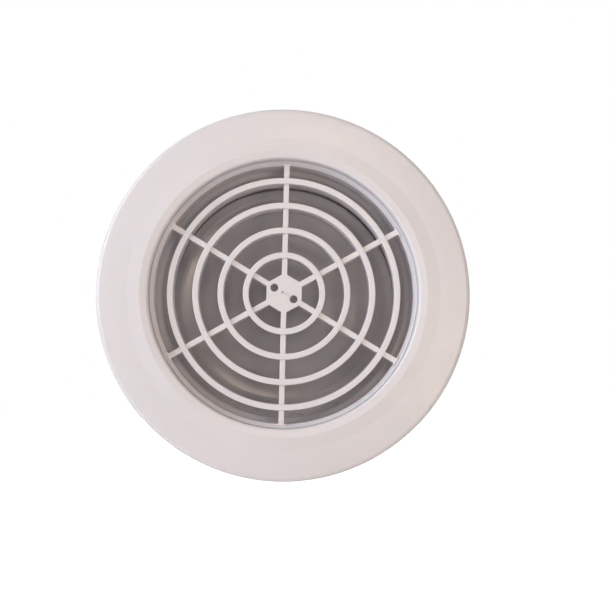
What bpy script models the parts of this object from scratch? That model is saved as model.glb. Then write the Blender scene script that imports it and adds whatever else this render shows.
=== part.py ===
"""A recessed bathroom extractor fan for a 100 mm duct.

The fan's axis is Y. Its grille faces -Y, and the plane y = 0 is the wall or ceiling that the flange seals against.
Behind the grille, in order: backdraught damper, axial impeller, shaded-pole motor, outlet spigot.
"""

from math import acos, cos, degrees, hypot, pi, radians, sin

import bmesh
import bpy
from mathutils import Matrix, Vector

MM = 0.001
GAP = 0.3 * MM

# Facets round a turned piece: large, medium and small.
LARGE, MEDIUM, SMALL, TINY = 40, 28, 16, 10

# Front: bezel and grille.
FLANGE_R = 70 * MM
THROAT_FRONT_R, THROAT_STEP, THROAT_R = 50.5 * MM, 9.2 * MM, 51 * MM
COLLAR_R = 52.8 * MM
COLLAR_END = 18 * MM
GASKET_IN, GASKET_OUT, GASKET_T = 63.8 * MM, 69.2 * MM, 1.3 * MM
RIM_IN, RIM_OUT = 49 * MM, 50.2 * MM
RIM_CREST, RIM_FRONT, RIM_BACK = -1.3 * MM, 0.2 * MM, 9.0 * MM
RING_FRONT, RING_BACK = -1.4 * MM, 6.8 * MM
RING_IN, RING_PITCH, RING_W = 13.26 * MM, 9.46 * MM, 2.3 * MM
RINGS = 4
SPOKES = 6
SPOKE_W = 2.1 * MM
SPOKE_FRONT, SPOKE_BACK = -0.5 * MM, 6.2 * MM
HUB_CORNER_R, HUB_BACK = 7.7 * MM, 4.6 * MM
HUB_HOLE_R, HUB_HOLE_AT, HUB_HOLE_ANGLE = 1.45 * MM, 4.25 * MM, radians(150)

# Housing.
SOCKET_IN, SOCKET_OUT = 48.7 * MM, 50.6 * MM
HOUSING_FRONT, SOCKET_END, HOUSING_BACK = 10.7 * MM, 31 * MM, 150 * MM
BORE_R, SPIGOT_R = 47 * MM, 49.25 * MM
SNAP_ANGLES = [radians(a) for a in (30, 150, 270)]
SNAP_Y0, SNAP_Y1, SNAP_W = 11.4 * MM, 14.6 * MM, 7.2 * MM

# Damper.
FRAME_R, FRAME_LIP_R, FRAME_FRONT, FRAME_BACK = 48.3 * MM, 50.4 * MM, 9.4 * MM, 30.4 * MM
SEAT_R, SEAT_BACK, FLAP_ROOM_R = 44.8 * MM, 24 * MM, 46.9 * MM
FLAP_R, FLAP_FRONT, FLAP_BACK = 46.3 * MM, 24.3 * MM, 25.5 * MM
FLAP_SEAM = 0.4 * MM
SPINDLE_Y, SPINDLE_R, SPINDLE_HALF = 28.4 * MM, 1.0 * MM, 47 * MM
KNUCKLE_R, KNUCKLE_BORE = 2.2 * MM, 1.35 * MM
KNUCKLE_L = 8 * MM
FLAP_SPRING_R, FLAP_SPRING_WIRE, FLAP_SPRING_HALF = 2.0 * MM, 0.25 * MM, 6 * MM

# Impeller and motor, along the axis.
HUB_R, HUB_FRONT, HUB_REAR = 19 * MM, 75 * MM, 93 * MM
BLADES, BLADE_TIP_R, BLADE_MID = 6, 45.4 * MM, 85 * MM
SHAFT_R, SHAFT_FRONT, SHAFT_BACK = 2.5 * MM, 75.6 * MM, 134 * MM
SHAFT_HOLE = SHAFT_R + GAP
STACK_FRONT, STACK_BACK = 109 * MM, 123 * MM
STACK_MID = (STACK_FRONT + STACK_BACK) / 2
SUPPORT_FRONT, SUPPORT_BACK, POST_BACK = 97 * MM, 99.5 * MM, 105.2 * MM
BAND_IN, BAND_OUT, BAND_FRONT, BAND_BACK = 44.6 * MM, 46.6 * MM, 94 * MM, 100.5 * MM
MOTOR_SCREW_X, MOTOR_SCREW_R = 19.5 * MM, 1.7 * MM
STATOR_BORE, ROTOR_R = 13.3 * MM, 12.8 * MM
BAR_LOW, BAR_HIGH = 27.5 * MM, 35.5 * MM
CAGE_IN, CAGE_OUT, CAGE_DEPTH = 7 * MM, 12.4 * MM, 2.5 * MM
CAGE_BARS, CAGE_BAR_R, CAGE_BAR_AT = 6, 0.9 * MM, 10.8 * MM
SUPPORT_ANGLES = [radians(a) for a in (30, 150, 270)]

# Terminal box, on top of the housing.
BOX_X, BOX_WALL = 17 * MM, 2 * MM
BOX_Y0, BOX_Y1 = 74 * MM, 114 * MM
BOX_FLOOR, BOX_RIM, LID_TOP = 49.9 * MM, 59.2 * MM, 61.5 * MM
POLES, BLOCK_X, BLOCK_Y0, BLOCK_Y1 = (86 * MM, 94 * MM), 6.5 * MM, 81.5 * MM, 98.5 * MM
POLE_SCREW_X = 3.2 * MM
BLOCK_LOW, BLOCK_TOP, WIRE_Z = 50.2 * MM, 57.9 * MM, 53 * MM
CABLE_X, CABLE_Z, CABLE_HOLE_R = -7 * MM, 54.6 * MM, 4 * MM
LEAD_X, LEAD_Y, LEAD_HOLE_R, LEAD_R = 9 * MM, 107 * MM, 3.3 * MM, 0.9 * MM
LID_SCREWS = [(12.4 * MM, 78.2 * MM), (-12.4 * MM, 78.2 * MM)]
CLAMP_SCREWS = [(-12.6 * MM, 104 * MM), (-1.4 * MM, 104 * MM)]

# Spring clips, one on each side.
PIVOT_X, PIVOT_Y = 57.5 * MM, 26 * MM
CLIP_WIRE, CLIP_COIL_R, CLIP_REACH = 0.8 * MM, 2.4 * MM, 22 * MM
CLIP_LEG_Z, CLIP_INNER_Z = 7.6 * MM, 3.4 * MM
CLIP_REST = radians(-60)
PAD_X, PAD_Y0, PAD_Y1 = 52 * MM, 19.5 * MM, 39.5 * MM
BRACKET_SCREW_Y = 35.4 * MM

AXIS_TURN = {"X": (0, pi / 2, 0), "Y": (-pi / 2, 0, 0), "Z": (0, 0, 0)}
PLANE_TURN = {"XY": (0, 0, 0), "XZ": (pi / 2, 0, 0), "YZ": (pi / 2, 0, pi / 2)}


# --- Scene and materials ---


def clear_scene():
    for obj in list(bpy.data.objects):
        bpy.data.objects.remove(obj)


def new_collection(name):
    made = bpy.data.collections.new(name)
    bpy.context.scene.collection.children.link(made)
    return made


def new_material(name, colour, roughness, metallic=0.0):
    made = bpy.data.materials.new(name)
    made.use_nodes = True
    shader = made.node_tree.nodes["Principled BSDF"]
    shader.inputs["Base Color"].default_value = (*colour, 1)
    shader.inputs["Roughness"].default_value = roughness
    shader.inputs["Metallic"].default_value = metallic
    return made


clear_scene()
FAN = new_collection("bathroom_extractor_fan")
HELPERS = new_collection("cutters_and_joined_shapes")
WHITE = new_material("white_abs", (0.72, 0.69, 0.68), 0.45)
SHELL = new_material("housing_grey_white", (0.66, 0.65, 0.63), 0.5)
TAUPE = new_material("taupe_abs", (0.3, 0.265, 0.255), 0.35)
DARK = new_material("impeller_dark", (0.06, 0.06, 0.065), 0.4)
NYLON = new_material("natural_nylon", (0.78, 0.76, 0.7), 0.5)
FOAM = new_material("grey_foam", (0.12, 0.12, 0.12), 0.9)
RUBBER = new_material("black_rubber", (0.03, 0.03, 0.03), 0.7)
STEEL = new_material("bright_steel", (0.62, 0.62, 0.63), 0.3, 1.0)
LAMINATE = new_material("laminated_steel", (0.33, 0.34, 0.36), 0.45, 1.0)
ZINC = new_material("cast_zinc", (0.55, 0.56, 0.58), 0.5, 1.0)
ALUMINIUM = new_material("cast_aluminium", (0.75, 0.76, 0.77), 0.4, 1.0)
COPPER = new_material("enamelled_copper", (0.62, 0.25, 0.1), 0.3, 1.0)
BRASS = new_material("brass", (0.7, 0.52, 0.2), 0.3, 1.0)
BRONZE = new_material("sintered_bronze", (0.5, 0.33, 0.16), 0.55, 1.0)
WIRE = new_material("lead_insulation", (0.03, 0.12, 0.4), 0.4)


# --- Shapes ---


def add_object(name, data, material=None):
    """An object in the fan's collection, or with no material a helper that is joined or cut and not shown."""
    obj = bpy.data.objects.new(name, data)
    if material is None:
        HELPERS.objects.link(obj)
        obj.hide_render = True
        obj.display_type = "WIRE"
    else:
        FAN.objects.link(obj)
        data.materials.append(material)
    return obj


def place(obj, axis, centre, turn):
    """Turns obj, and moves it to centre: the two coordinates that aren't along axis, in X, Y, Z order."""
    first, second = centre
    spot = {"X": (0, first, second), "Y": (first, 0, second), "Z": (first, second, 0)}[axis]
    obj.location = spot
    obj.rotation_euler = turn


def signed_area(points):
    return sum(a[0] * b[1] - b[0] * a[1] for a, b in zip(points, points[1:] + points[:1])) / 2


def turned(name, outline, steps, material=None, axis="Y", centre=(0, 0), ring=True):
    """Turns an outline of (radius, place along the axis) points. A ring's outline is closed and clears the axis."""
    points = outline[::-1] if signed_area(outline) > 0 else outline
    mesh = bpy.data.meshes.new(name)
    edges = [(i, i + 1) for i in range(len(points) - 1)]
    if ring:
        edges.append((len(points) - 1, 0))
    mesh.from_pydata([(r, 0, along) for r, along in points], edges, [])
    obj = add_object(name, mesh, material)
    place(obj, axis, centre, AXIS_TURN[axis])
    screw = obj.modifiers.new("Turn", "SCREW")
    screw.axis = "Z"
    screw.angle = 2 * pi
    screw.steps = screw.render_steps = steps
    screw.use_merge_vertices = True
    screw.merge_threshold = 0.00001
    return obj


def washer(name, inner, outer, start, end, steps, material=None, axis="Y", centre=(0, 0)):
    outline = [(inner, start), (outer, start), (outer, end), (inner, end)]
    return turned(name, outline, steps, material, axis, centre)


def cylinder(name, radius, start, end, steps, material=None, axis="Y", centre=(0, 0)):
    mesh = bpy.data.meshes.new(name)
    shape = bmesh.new()
    middle = Matrix.Translation((0, 0, (start + end) / 2))
    bmesh.ops.create_cone(
        shape, cap_ends=True, segments=steps, radius1=radius, radius2=radius, depth=end - start, matrix=middle
    )
    shape.to_mesh(mesh)
    shape.free()
    obj = add_object(name, mesh, material)
    place(obj, axis, centre, AXIS_TURN[axis])
    return obj


def box(name, low, high, material=None):
    low, high = Vector(low), Vector(high)
    mesh = bpy.data.meshes.new(name)
    shape = bmesh.new()
    bmesh.ops.create_cube(shape, size=1, matrix=Matrix.Diagonal((*(high - low), 1)))
    shape.to_mesh(mesh)
    shape.free()
    obj = add_object(name, mesh, material)
    obj.location = (low + high) / 2
    return obj


def swing(obj, angle):
    """Turns a shape about the fan's axis, from pointing along +X to that angle, anticlockwise seen from the front."""
    obj.matrix_world = Matrix.Rotation(-angle, 4, "Y") @ obj.matrix_basis
    return obj


def circle(x, y, radius, steps):
    return [(x + radius * cos(2 * pi * i / steps), y + radius * sin(2 * pi * i / steps)) for i in range(steps)]


def rounded_rectangle(x0, x1, y0, y1, radius, steps=3):
    points = []
    corners = [(x1, y1, 0), (x0, y1, pi / 2), (x0, y0, pi), (x1, y0, 3 * pi / 2)]
    for x, y, start in corners:
        cx = x - radius if x == x1 else x + radius
        cy = y - radius if y == y1 else y + radius
        for i in range(steps + 1):
            a = start + pi / 2 * i / steps
            points.append((cx + radius * cos(a), cy + radius * sin(a)))
    return points


def as_mesh(curve_obj, name, material):
    """The mesh that a curve evaluates to, with its caps welded on."""
    graph = bpy.context.evaluated_depsgraph_get()
    mesh = bpy.data.meshes.new_from_object(curve_obj.evaluated_get(graph))
    shape = bmesh.new()
    shape.from_mesh(mesh)
    bmesh.ops.remove_doubles(shape, verts=shape.verts, dist=0.000005)
    shape.to_mesh(mesh)
    shape.free()
    mesh.materials.clear()
    obj = add_object(name, mesh, material)
    obj.matrix_world = curve_obj.matrix_world
    bpy.data.objects.remove(curve_obj)
    return obj


def flat(name, outlines, plane, low, high, material=None):
    """A plate of flat outlines, the first one solid and the others holes, between low and high across its plane."""
    curve = bpy.data.curves.new(name + "_outline", "CURVE")
    curve.dimensions = "2D"
    curve.fill_mode = "BOTH"
    curve.extrude = (high - low) / 2
    for outline in outlines:
        spline = curve.splines.new("POLY")
        spline.points.add(len(outline) - 1)
        for point, (x, y) in zip(spline.points, outline):
            point.co = (x, y, 0, 1)
        spline.use_cyclic_u = True
    drawn = bpy.data.objects.new(name + "_outline", curve)
    HELPERS.objects.link(drawn)
    drawn.rotation_euler = PLANE_TURN[plane]
    middle = (low + high) / 2
    drawn.location = {"XY": (0, 0, middle), "XZ": (0, middle, 0), "YZ": (middle, 0, 0)}[plane]
    bpy.context.view_layer.update()
    return as_mesh(drawn, name, material)


def wire(name, points, radius, material=None, sides_over_four=2):
    """A round wire or tube along points, with its ends closed."""
    curve = bpy.data.curves.new(name, "CURVE")
    curve.dimensions = "3D"
    curve.bevel_depth = radius
    curve.bevel_resolution = sides_over_four
    curve.use_fill_caps = True
    spline = curve.splines.new("POLY")
    spline.points.add(len(points) - 1)
    for point, place_at in zip(spline.points, points):
        point.co = (*place_at, 1)
    return add_object(name, curve, material)


def smooth_route(points, spacing):
    """Points about spacing apart along a smooth curve through the given points."""
    ends = [points[0] * 2 - points[1], *points, points[-1] * 2 - points[-2]]
    route = []
    for a, b, c, d in zip(ends, ends[1:], ends[2:], ends[3:]):
        count = max(1, round((c - b).length / spacing))
        for i in range(count):
            t = i / count
            route.append(
                ((b * 2) + (c - a) * t + (a * 2 - b * 5 + c * 4 - d) * t**2 + (b * 3 - a - c * 3 + d) * t**3) / 2
            )
    return [*route, points[-1]]


def boolean(obj, operation, *others):
    for other in others:
        change = obj.modifiers.new(other.name, "BOOLEAN")
        change.operation = operation
        change.object = other
    return obj


def join(obj, *others):
    return boolean(obj, "UNION", *others)


def cut(obj, *others):
    return boolean(obj, "DIFFERENCE", *others)


def joint_at(name, spot, *pieces):
    """An empty on a joint's axis, with the pieces that move on it as its children."""
    pivot = bpy.data.objects.new(name, None)
    pivot.empty_display_size = 0.01
    FAN.objects.link(pivot)
    pivot.location = spot
    for piece in pieces:
        piece.parent = pivot
        piece.matrix_parent_inverse = Matrix.Translation(Vector(spot)).inverted()


def screw_shape(name, shank_r, head_r, head_start, head_end, tip, axis, centre, material=STEEL):
    """A pan-head screw: its head lies between head_start and head_end, and its shank runs on to tip."""
    outline = [(0, head_start), (head_r * 0.8, head_start), (head_r, (head_start * 2 + head_end) / 3)]
    outline += [(head_r, head_end), (shank_r, head_end), (shank_r, tip), (0, tip)]
    return turned(name, outline, TINY, material, axis, centre, ring=False)


# --- Front ---


def make_bezel():
    """The flange is nearly flat, rises to a soft lip round the throat, and has a collar behind it."""
    lip = [(50.5, -2.8), (50.6, -3.6), (51.4, -4.3), (52.7, -5.2), (53.5, -5.4), (54.8, -5.15), (57, -4.8)]
    dome = [(62, -4.4), (67, -3.8), (69, -3.3), (69.8, -2.7), (70, -2.0), (69.6, -1.6)]
    back = [(63.5, -1.6), (62, -2.2), (54.4, -3.0), (52.8, -1.8)]
    outline = [(r * MM, y * MM) for r, y in lip + dome + back]
    outline += [(COLLAR_R, COLLAR_END), (THROAT_R, COLLAR_END), (THROAT_R, THROAT_STEP)]
    outline.append((THROAT_FRONT_R, THROAT_STEP))
    bezel = turned("bezel", outline, LARGE, WHITE)
    for i, angle in enumerate(SNAP_ANGLES):
        half = SNAP_W / 2 + GAP
        window = box(f"snap_window_{i}", (50 * MM, SNAP_Y0 - GAP, -half), (54 * MM, SNAP_Y1 + GAP, half))
        cut(bezel, swing(window, angle))
    washer("flange_gasket", GASKET_IN, GASKET_OUT, -GASKET_T, 0, LARGE, FOAM)


def make_grille():
    """A rim, four rings standing proud of six spokes, and a six-sided hub with two holes."""
    rim = [(RIM_IN, RIM_FRONT), (RIM_OUT, RIM_CREST), (RIM_OUT, RIM_BACK), (RIM_IN, RIM_BACK)]
    grille = turned("grille", rim, LARGE, WHITE)
    for i in range(RINGS):
        inner = RING_IN + i * RING_PITCH
        draft = 0.25 * MM
        outline = [(inner, RING_FRONT), (inner + RING_W, RING_FRONT)]
        outline += [(inner + RING_W - draft, RING_BACK), (inner + draft, RING_BACK)]
        join(grille, turned(f"grille_ring_{i}", outline, LARGE if i > 1 else MEDIUM))
    for i in range(SPOKES):
        low = (5 * MM, SPOKE_FRONT, -SPOKE_W / 2)
        spoke = box(f"grille_spoke_{i}", low, ((RIM_IN + RIM_OUT) / 2, SPOKE_BACK, SPOKE_W / 2))
        join(grille, swing(spoke, pi / 2 + i * 2 * pi / SPOKES))
    hexagon = [(HUB_CORNER_R * sin(i * pi / 3), HUB_CORNER_R * cos(i * pi / 3)) for i in range(6)]
    join(grille, flat("grille_hub", [hexagon], "XZ", SPOKE_FRONT, HUB_BACK))
    for i, side in enumerate((-1, 1)):
        centre = (side * HUB_HOLE_AT * cos(HUB_HOLE_ANGLE), side * HUB_HOLE_AT * sin(HUB_HOLE_ANGLE))
        cut(grille, cylinder(f"hub_hole_{i}", HUB_HOLE_R, -5 * MM, 10 * MM, SMALL, centre=centre))
    joint_at("grille_slide", (0, 0, 0), grille)


# --- Housing and terminal box ---


def make_housing():
    """A stepped tube with the terminal box on top, three snaps that hold the bezel, and a pad for each clip."""
    stop_rib = [(SPIGOT_R, 116 * MM), (51.4 * MM, 116.6 * MM), (51.4 * MM, 117.6 * MM), (SPIGOT_R, 118.2 * MM)]
    outline = [(0, HOUSING_FRONT), (SOCKET_OUT, HOUSING_FRONT), (SOCKET_OUT, 33 * MM), (SPIGOT_R, 36 * MM)]
    outline += stop_rib + [(SPIGOT_R, 148 * MM), (48.6 * MM, HOUSING_BACK), (0, HOUSING_BACK)]
    housing = turned("housing", outline, LARGE, SHELL, ring=False)
    join(housing, box("terminal_box_walls", (-BOX_X, BOX_Y0, 44.5 * MM), (BOX_X, BOX_Y1, BOX_RIM)))
    for i, side in enumerate((-1, 1)):
        x0, x1 = sorted((side * 47 * MM, side * PAD_X))
        join(housing, box(f"clip_pad_{i}", (x0, PAD_Y0, -11 * MM), (x1, PAD_Y1, 11 * MM)))
    for i, angle in enumerate(SNAP_ANGLES):
        half = SNAP_W / 2
        snap = box(f"snap_lug_{i}", (49.5 * MM, SNAP_Y0, -half), (51.9 * MM, SNAP_Y1, half))
        join(housing, swing(snap, angle))
    inside = BOX_X - BOX_WALL
    low = (-inside, BOX_Y0 + BOX_WALL, BOX_FLOOR)
    cut(housing, box("terminal_box_room", low, (inside, BOX_Y1 - BOX_WALL, 64 * MM)))
    for i, (x, y) in enumerate(LID_SCREWS):
        join(housing, cylinder(f"lid_post_{i}", 2.3 * MM, 49 * MM, 59 * MM, TINY, axis="Z", centre=(x, y)))
        cut(housing, cylinder(f"lid_pilot_{i}", 1.4 * MM, 51 * MM, 62 * MM, TINY, axis="Z", centre=(x, y)))
    for i, (x, y) in enumerate(CLAMP_SCREWS):
        join(housing, cylinder(f"clamp_post_{i}", 2.0 * MM, 49 * MM, 56.1 * MM, TINY, axis="Z", centre=(x, y)))
        cut(housing, cylinder(f"clamp_pilot_{i}", 1.2 * MM, 51 * MM, 60 * MM, TINY, axis="Z", centre=(x, y)))
    bore = [(0, 5 * MM), (SOCKET_IN, 5 * MM), (SOCKET_IN, SOCKET_END), (BORE_R, SOCKET_END)]
    bore += [(BORE_R, 155 * MM), (0, 155 * MM)]
    cut(housing, turned("housing_bore", bore, LARGE, ring=False))
    cut(housing, cylinder("lead_hole", LEAD_HOLE_R, 44 * MM, 55 * MM, SMALL, axis="Z", centre=(LEAD_X, LEAD_Y)))
    cable_hole = cylinder("cable_hole", CABLE_HOLE_R, 108 * MM, 118 * MM, SMALL, centre=(CABLE_X, CABLE_Z))
    cut(housing, cable_hole)
    for i, angle in enumerate(SUPPORT_ANGLES):
        hole = cylinder(f"support_hole_{i}", 1.5 * MM, 44 * MM, 53 * MM, TINY, axis="X", centre=(98 * MM, 0))
        cut(housing, swing(hole, angle))
    for i, side in enumerate((-1, 1)):
        x0, x1 = sorted((side * 46 * MM, side * 54 * MM))
        cut(housing, cylinder(f"clip_pilot_{i}", 1.5 * MM, x0, x1, TINY, axis="X", centre=(BRACKET_SCREW_Y, 0)))


def make_terminals():
    """The terminal block, its screws, the cable clamp, the two grommets and the lid."""
    block = box("terminal_block", (-BLOCK_X, BLOCK_Y0, BLOCK_LOW), (BLOCK_X, BLOCK_Y1, BLOCK_TOP), NYLON)
    for pole, y in enumerate(POLES):
        cut(block, cylinder(f"pole_{pole}", 1.7 * MM, -8 * MM, 8 * MM, TINY, axis="X", centre=(y, WIRE_Z)))
        for end, x in enumerate((-POLE_SCREW_X, POLE_SCREW_X)):
            name = f"{2 * pole + end + 1}"
            cut(block, cylinder(f"screw_hole_{name}", 1.9 * MM, WIRE_Z, 60 * MM, TINY, axis="Z", centre=(x, y)))
            cylinder(f"terminal_screw_{name}", 1.5 * MM, 55.2 * MM, 57.4 * MM, TINY, BRASS, "Z", (x, y))
    xs = [x for x, _ in CLAMP_SCREWS]
    low = (min(xs) - 2 * MM, 101.8 * MM, 56.4 * MM)
    clamp = box("cable_clamp", low, (max(xs) + 2 * MM, 106.2 * MM, 57.4 * MM), NYLON)
    for i, c in enumerate(CLAMP_SCREWS):
        cut(clamp, cylinder(f"clamp_hole_{i}", 1.5 * MM, 50 * MM, 60 * MM, TINY, axis="Z", centre=c))
        screw_shape(f"clamp_screw_{i + 1}", 0.9 * MM, 2.0 * MM, 59.0 * MM, 57.7 * MM, 52 * MM, "Z", c)
    neck, lip = 3.7 * MM, 4.4 * MM
    wall_in, wall_out = BOX_Y1 - BOX_WALL - GAP, BOX_Y1 + GAP
    outline = [(3.2 * MM, wall_in - MM), (lip, wall_in - MM), (lip, wall_in), (neck, wall_in), (neck, wall_out)]
    outline += [(lip, wall_out), (lip, wall_out + MM), (3.2 * MM, wall_out + 1.6 * MM)]
    turned("cable_grommet", outline, SMALL, RUBBER, centre=(CABLE_X, CABLE_Z))
    top = BOX_FLOOR + GAP
    outline = [(2.5 * MM, 46.2 * MM), (3.0 * MM, 46.2 * MM), (3.0 * MM, top), (4.0 * MM, top)]
    outline += [(4.0 * MM, top + 0.9 * MM), (2.5 * MM, top + 0.9 * MM)]
    turned("lead_grommet", outline, SMALL, RUBBER, axis="Z", centre=(LEAD_X, LEAD_Y))
    outline = rounded_rectangle(-BOX_X, BOX_X, BOX_Y0, BOX_Y1, 2 * MM)
    lid = flat("terminal_lid", [outline], "XY", BOX_RIM + GAP, LID_TOP, SHELL)
    for i, c in enumerate(LID_SCREWS):
        cut(lid, cylinder(f"lid_hole_{i}", 1.8 * MM, 55 * MM, 65 * MM, TINY, axis="Z", centre=c))
        cut(lid, cylinder(f"lid_sink_{i}", 3.1 * MM, 60.4 * MM, 65 * MM, TINY, axis="Z", centre=c))
        screw_shape(f"lid_screw_{i + 1}", 1.0 * MM, 2.7 * MM, 62.0 * MM, 60.7 * MM, 52.5 * MM, "Z", c)


# --- Backdraught damper ---


def make_damper():
    """A funnel whose lip laps the housing's front edge, and two half-round flaps hinged on one upright spindle."""
    outline = [(49.2 * MM, FRAME_FRONT), (FRAME_LIP_R, FRAME_FRONT), (FRAME_LIP_R, FRAME_FRONT + MM)]
    outline += [(FRAME_R, FRAME_FRONT + MM), (FRAME_R, FRAME_BACK), (FLAP_ROOM_R, FRAME_BACK)]
    outline += [(FLAP_ROOM_R, SEAT_BACK), (SEAT_R, SEAT_BACK), (SEAT_R, 21.5 * MM), (46.4 * MM, 14.5 * MM)]
    outline += [(47.4 * MM, 10.8 * MM)]
    frame = turned("damper_frame", outline, LARGE, TAUPE)
    for i, (z0, z1) in enumerate(((42 * MM, 47.6 * MM), (-47.6 * MM, -42 * MM))):
        join(frame, cylinder(f"spindle_boss_{i}", 2.3 * MM, z0, z1, SMALL, axis="Z", centre=(0, SPINDLE_Y)))
    reach = SPINDLE_HALF + GAP
    cut(frame, cylinder("spindle_hole", KNUCKLE_BORE, -reach, reach, SMALL, axis="Z", centre=(0, SPINDLE_Y)))
    cylinder("flap_spindle", SPINDLE_R, -SPINDLE_HALF, SPINDLE_HALF, SMALL, STEEL, "Z", (0, SPINDLE_Y))
    make_flap("flap_left", -1, 26 * MM)
    make_flap("flap_right", 1, 16 * MM)
    wire("flap_spring", flap_spring_path(), FLAP_SPRING_WIRE, STEEL, 0)


def make_flap(name, side, knuckle_z):
    """A half disc with two hinge knuckles behind its straight edge, at plus and minus knuckle_z."""
    start = acos(FLAP_SEAM / FLAP_R)
    steps = 18
    arc = [
        (side * FLAP_R * cos(start - 2 * start * i / steps), FLAP_R * sin(start - 2 * start * i / steps))
        for i in range(steps + 1)
    ]
    flap = flat(name, [arc], "XZ", FLAP_FRONT, FLAP_BACK, TAUPE)
    for i, z in enumerate((-knuckle_z, knuckle_z)):
        z0, z1 = z - KNUCKLE_L / 2, z + KNUCKLE_L / 2
        x0, x1 = sorted((side * 0.8 * MM, side * 5 * MM))
        rib = box(f"{name}_rib_{i}", (x0, 25 * MM, z0 + 0.2 * MM), (x1, 28.6 * MM, z1 - 0.2 * MM))
        knuckle = cylinder(f"{name}_knuckle_{i}", KNUCKLE_R, z0, z1, SMALL, axis="Z", centre=(0, SPINDLE_Y))
        join(flap, rib, knuckle)
    bore = cylinder(f"{name}_bore", KNUCKLE_BORE, -40 * MM, 40 * MM, SMALL, axis="Z", centre=(0, SPINDLE_Y))
    cut(flap, bore)
    joint_at(name + "_hinge", (0, SPINDLE_Y, 0), flap)


def flap_spring_path():
    """A torsion spring round the spindle, with a straight leg resting behind each flap."""
    turns, per_turn, leg = 5, 10, 11 * MM
    front = SPINDLE_Y - FLAP_SPRING_R
    points = [(leg, front, -FLAP_SPRING_HALF)]
    for i in range(turns * per_turn + 1):
        a = -pi / 2 - 2 * pi * i / per_turn
        z = -FLAP_SPRING_HALF + 2 * FLAP_SPRING_HALF * i / (turns * per_turn)
        points.append((FLAP_SPRING_R * cos(a), SPINDLE_Y + FLAP_SPRING_R * sin(a), z))
    return [*points, (-leg, front, FLAP_SPRING_HALF)]


# --- Impeller ---


def make_impeller():
    hub = [(SHAFT_HOLE, 78), (8, 78), (9, 75.6), (14, 75), (17.6, 76.6), (19, 80), (19, 93), (17.2, 93)]
    hub += [(17.2, 81.8), (15.8, 80.2), (5.6, 80.2), (5.6, 92), (SHAFT_HOLE, 92)]
    outline = [(r if r == SHAFT_HOLE else r * MM, y * MM) for r, y in hub]
    impeller = turned("impeller", outline, MEDIUM, DARK)
    for i in range(BLADES):
        join(impeller, blade(f"blade_{i}", 2 * pi * i / BLADES))
    clip = washer("impeller_clip", SHAFT_HOLE, 5.8 * MM, 76.7 * MM, 77.5 * MM, SMALL, STEEL)
    shaft = cylinder("motor_shaft", SHAFT_R, SHAFT_FRONT, SHAFT_BACK, SMALL, STEEL)
    rotor = washer("rotor_core", SHAFT_HOLE, ROTOR_R, STACK_FRONT, STACK_BACK, MEDIUM, LAMINATE)
    cage = washer("rotor_cage", CAGE_IN, CAGE_OUT, STACK_FRONT - GAP - CAGE_DEPTH, STACK_FRONT - GAP, MEDIUM, ALUMINIUM)
    join(cage, washer("cage_rear_ring", CAGE_IN, CAGE_OUT, STACK_BACK + GAP, STACK_BACK + GAP + CAGE_DEPTH, MEDIUM))
    for i in range(CAGE_BARS):
        angle = 2 * pi * (i + 0.4) / CAGE_BARS
        spot = (CAGE_BAR_AT * cos(angle), CAGE_BAR_AT * sin(angle))
        bar_ends = (STACK_FRONT - CAGE_DEPTH / 2, STACK_BACK + CAGE_DEPTH / 2)
        join(cage, cylinder(f"cage_bar_{i}", CAGE_BAR_R, *bar_ends, 8, centre=spot))
        cut(rotor, cylinder(f"rotor_slot_{i}", CAGE_BAR_R + GAP, STACK_FRONT - MM, STACK_BACK + MM, 8, centre=spot))
    joint_at("impeller_spin", (0, BLADE_MID, 0), impeller, clip, shaft, rotor, cage)


def blade(name, angle):
    """A cambered, twisted plate: a grid bent round the axis, its chord widening and its pitch flattening to the tip."""
    root_r, thickness, camber = 17.9 * MM, 1.5 * MM, 2.2 * MM
    root_chord, tip_chord = 17 * MM, 31 * MM
    root_pitch, tip_pitch = radians(42), radians(24)
    mesh = bpy.data.meshes.new(name)
    shape = bmesh.new()
    bmesh.ops.create_grid(shape, x_segments=6, y_segments=4, size=0.5)
    for vertex in shape.verts:
        along, out = vertex.co.x, vertex.co.y + 0.5
        radius = root_r + (BLADE_TIP_R - root_r) * out
        pitch = root_pitch + (tip_pitch - root_pitch) * out
        chord = root_chord + (tip_chord - root_chord) * out
        bow = camber * (1 - 4 * along**2)
        sideways = along * chord * cos(pitch) - bow * sin(pitch)
        depth = along * chord * sin(pitch) + bow * cos(pitch)
        turn = angle + sideways / radius
        vertex.co = (radius * cos(turn), BLADE_MID - camber / 2 + depth, radius * sin(turn))
    shape.to_mesh(mesh)
    shape.free()
    obj = add_object(name, mesh)
    solid = obj.modifiers.new("Thickness", "SOLIDIFY")
    solid.thickness = thickness
    solid.offset = 0
    return obj


# --- Motor ---


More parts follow.
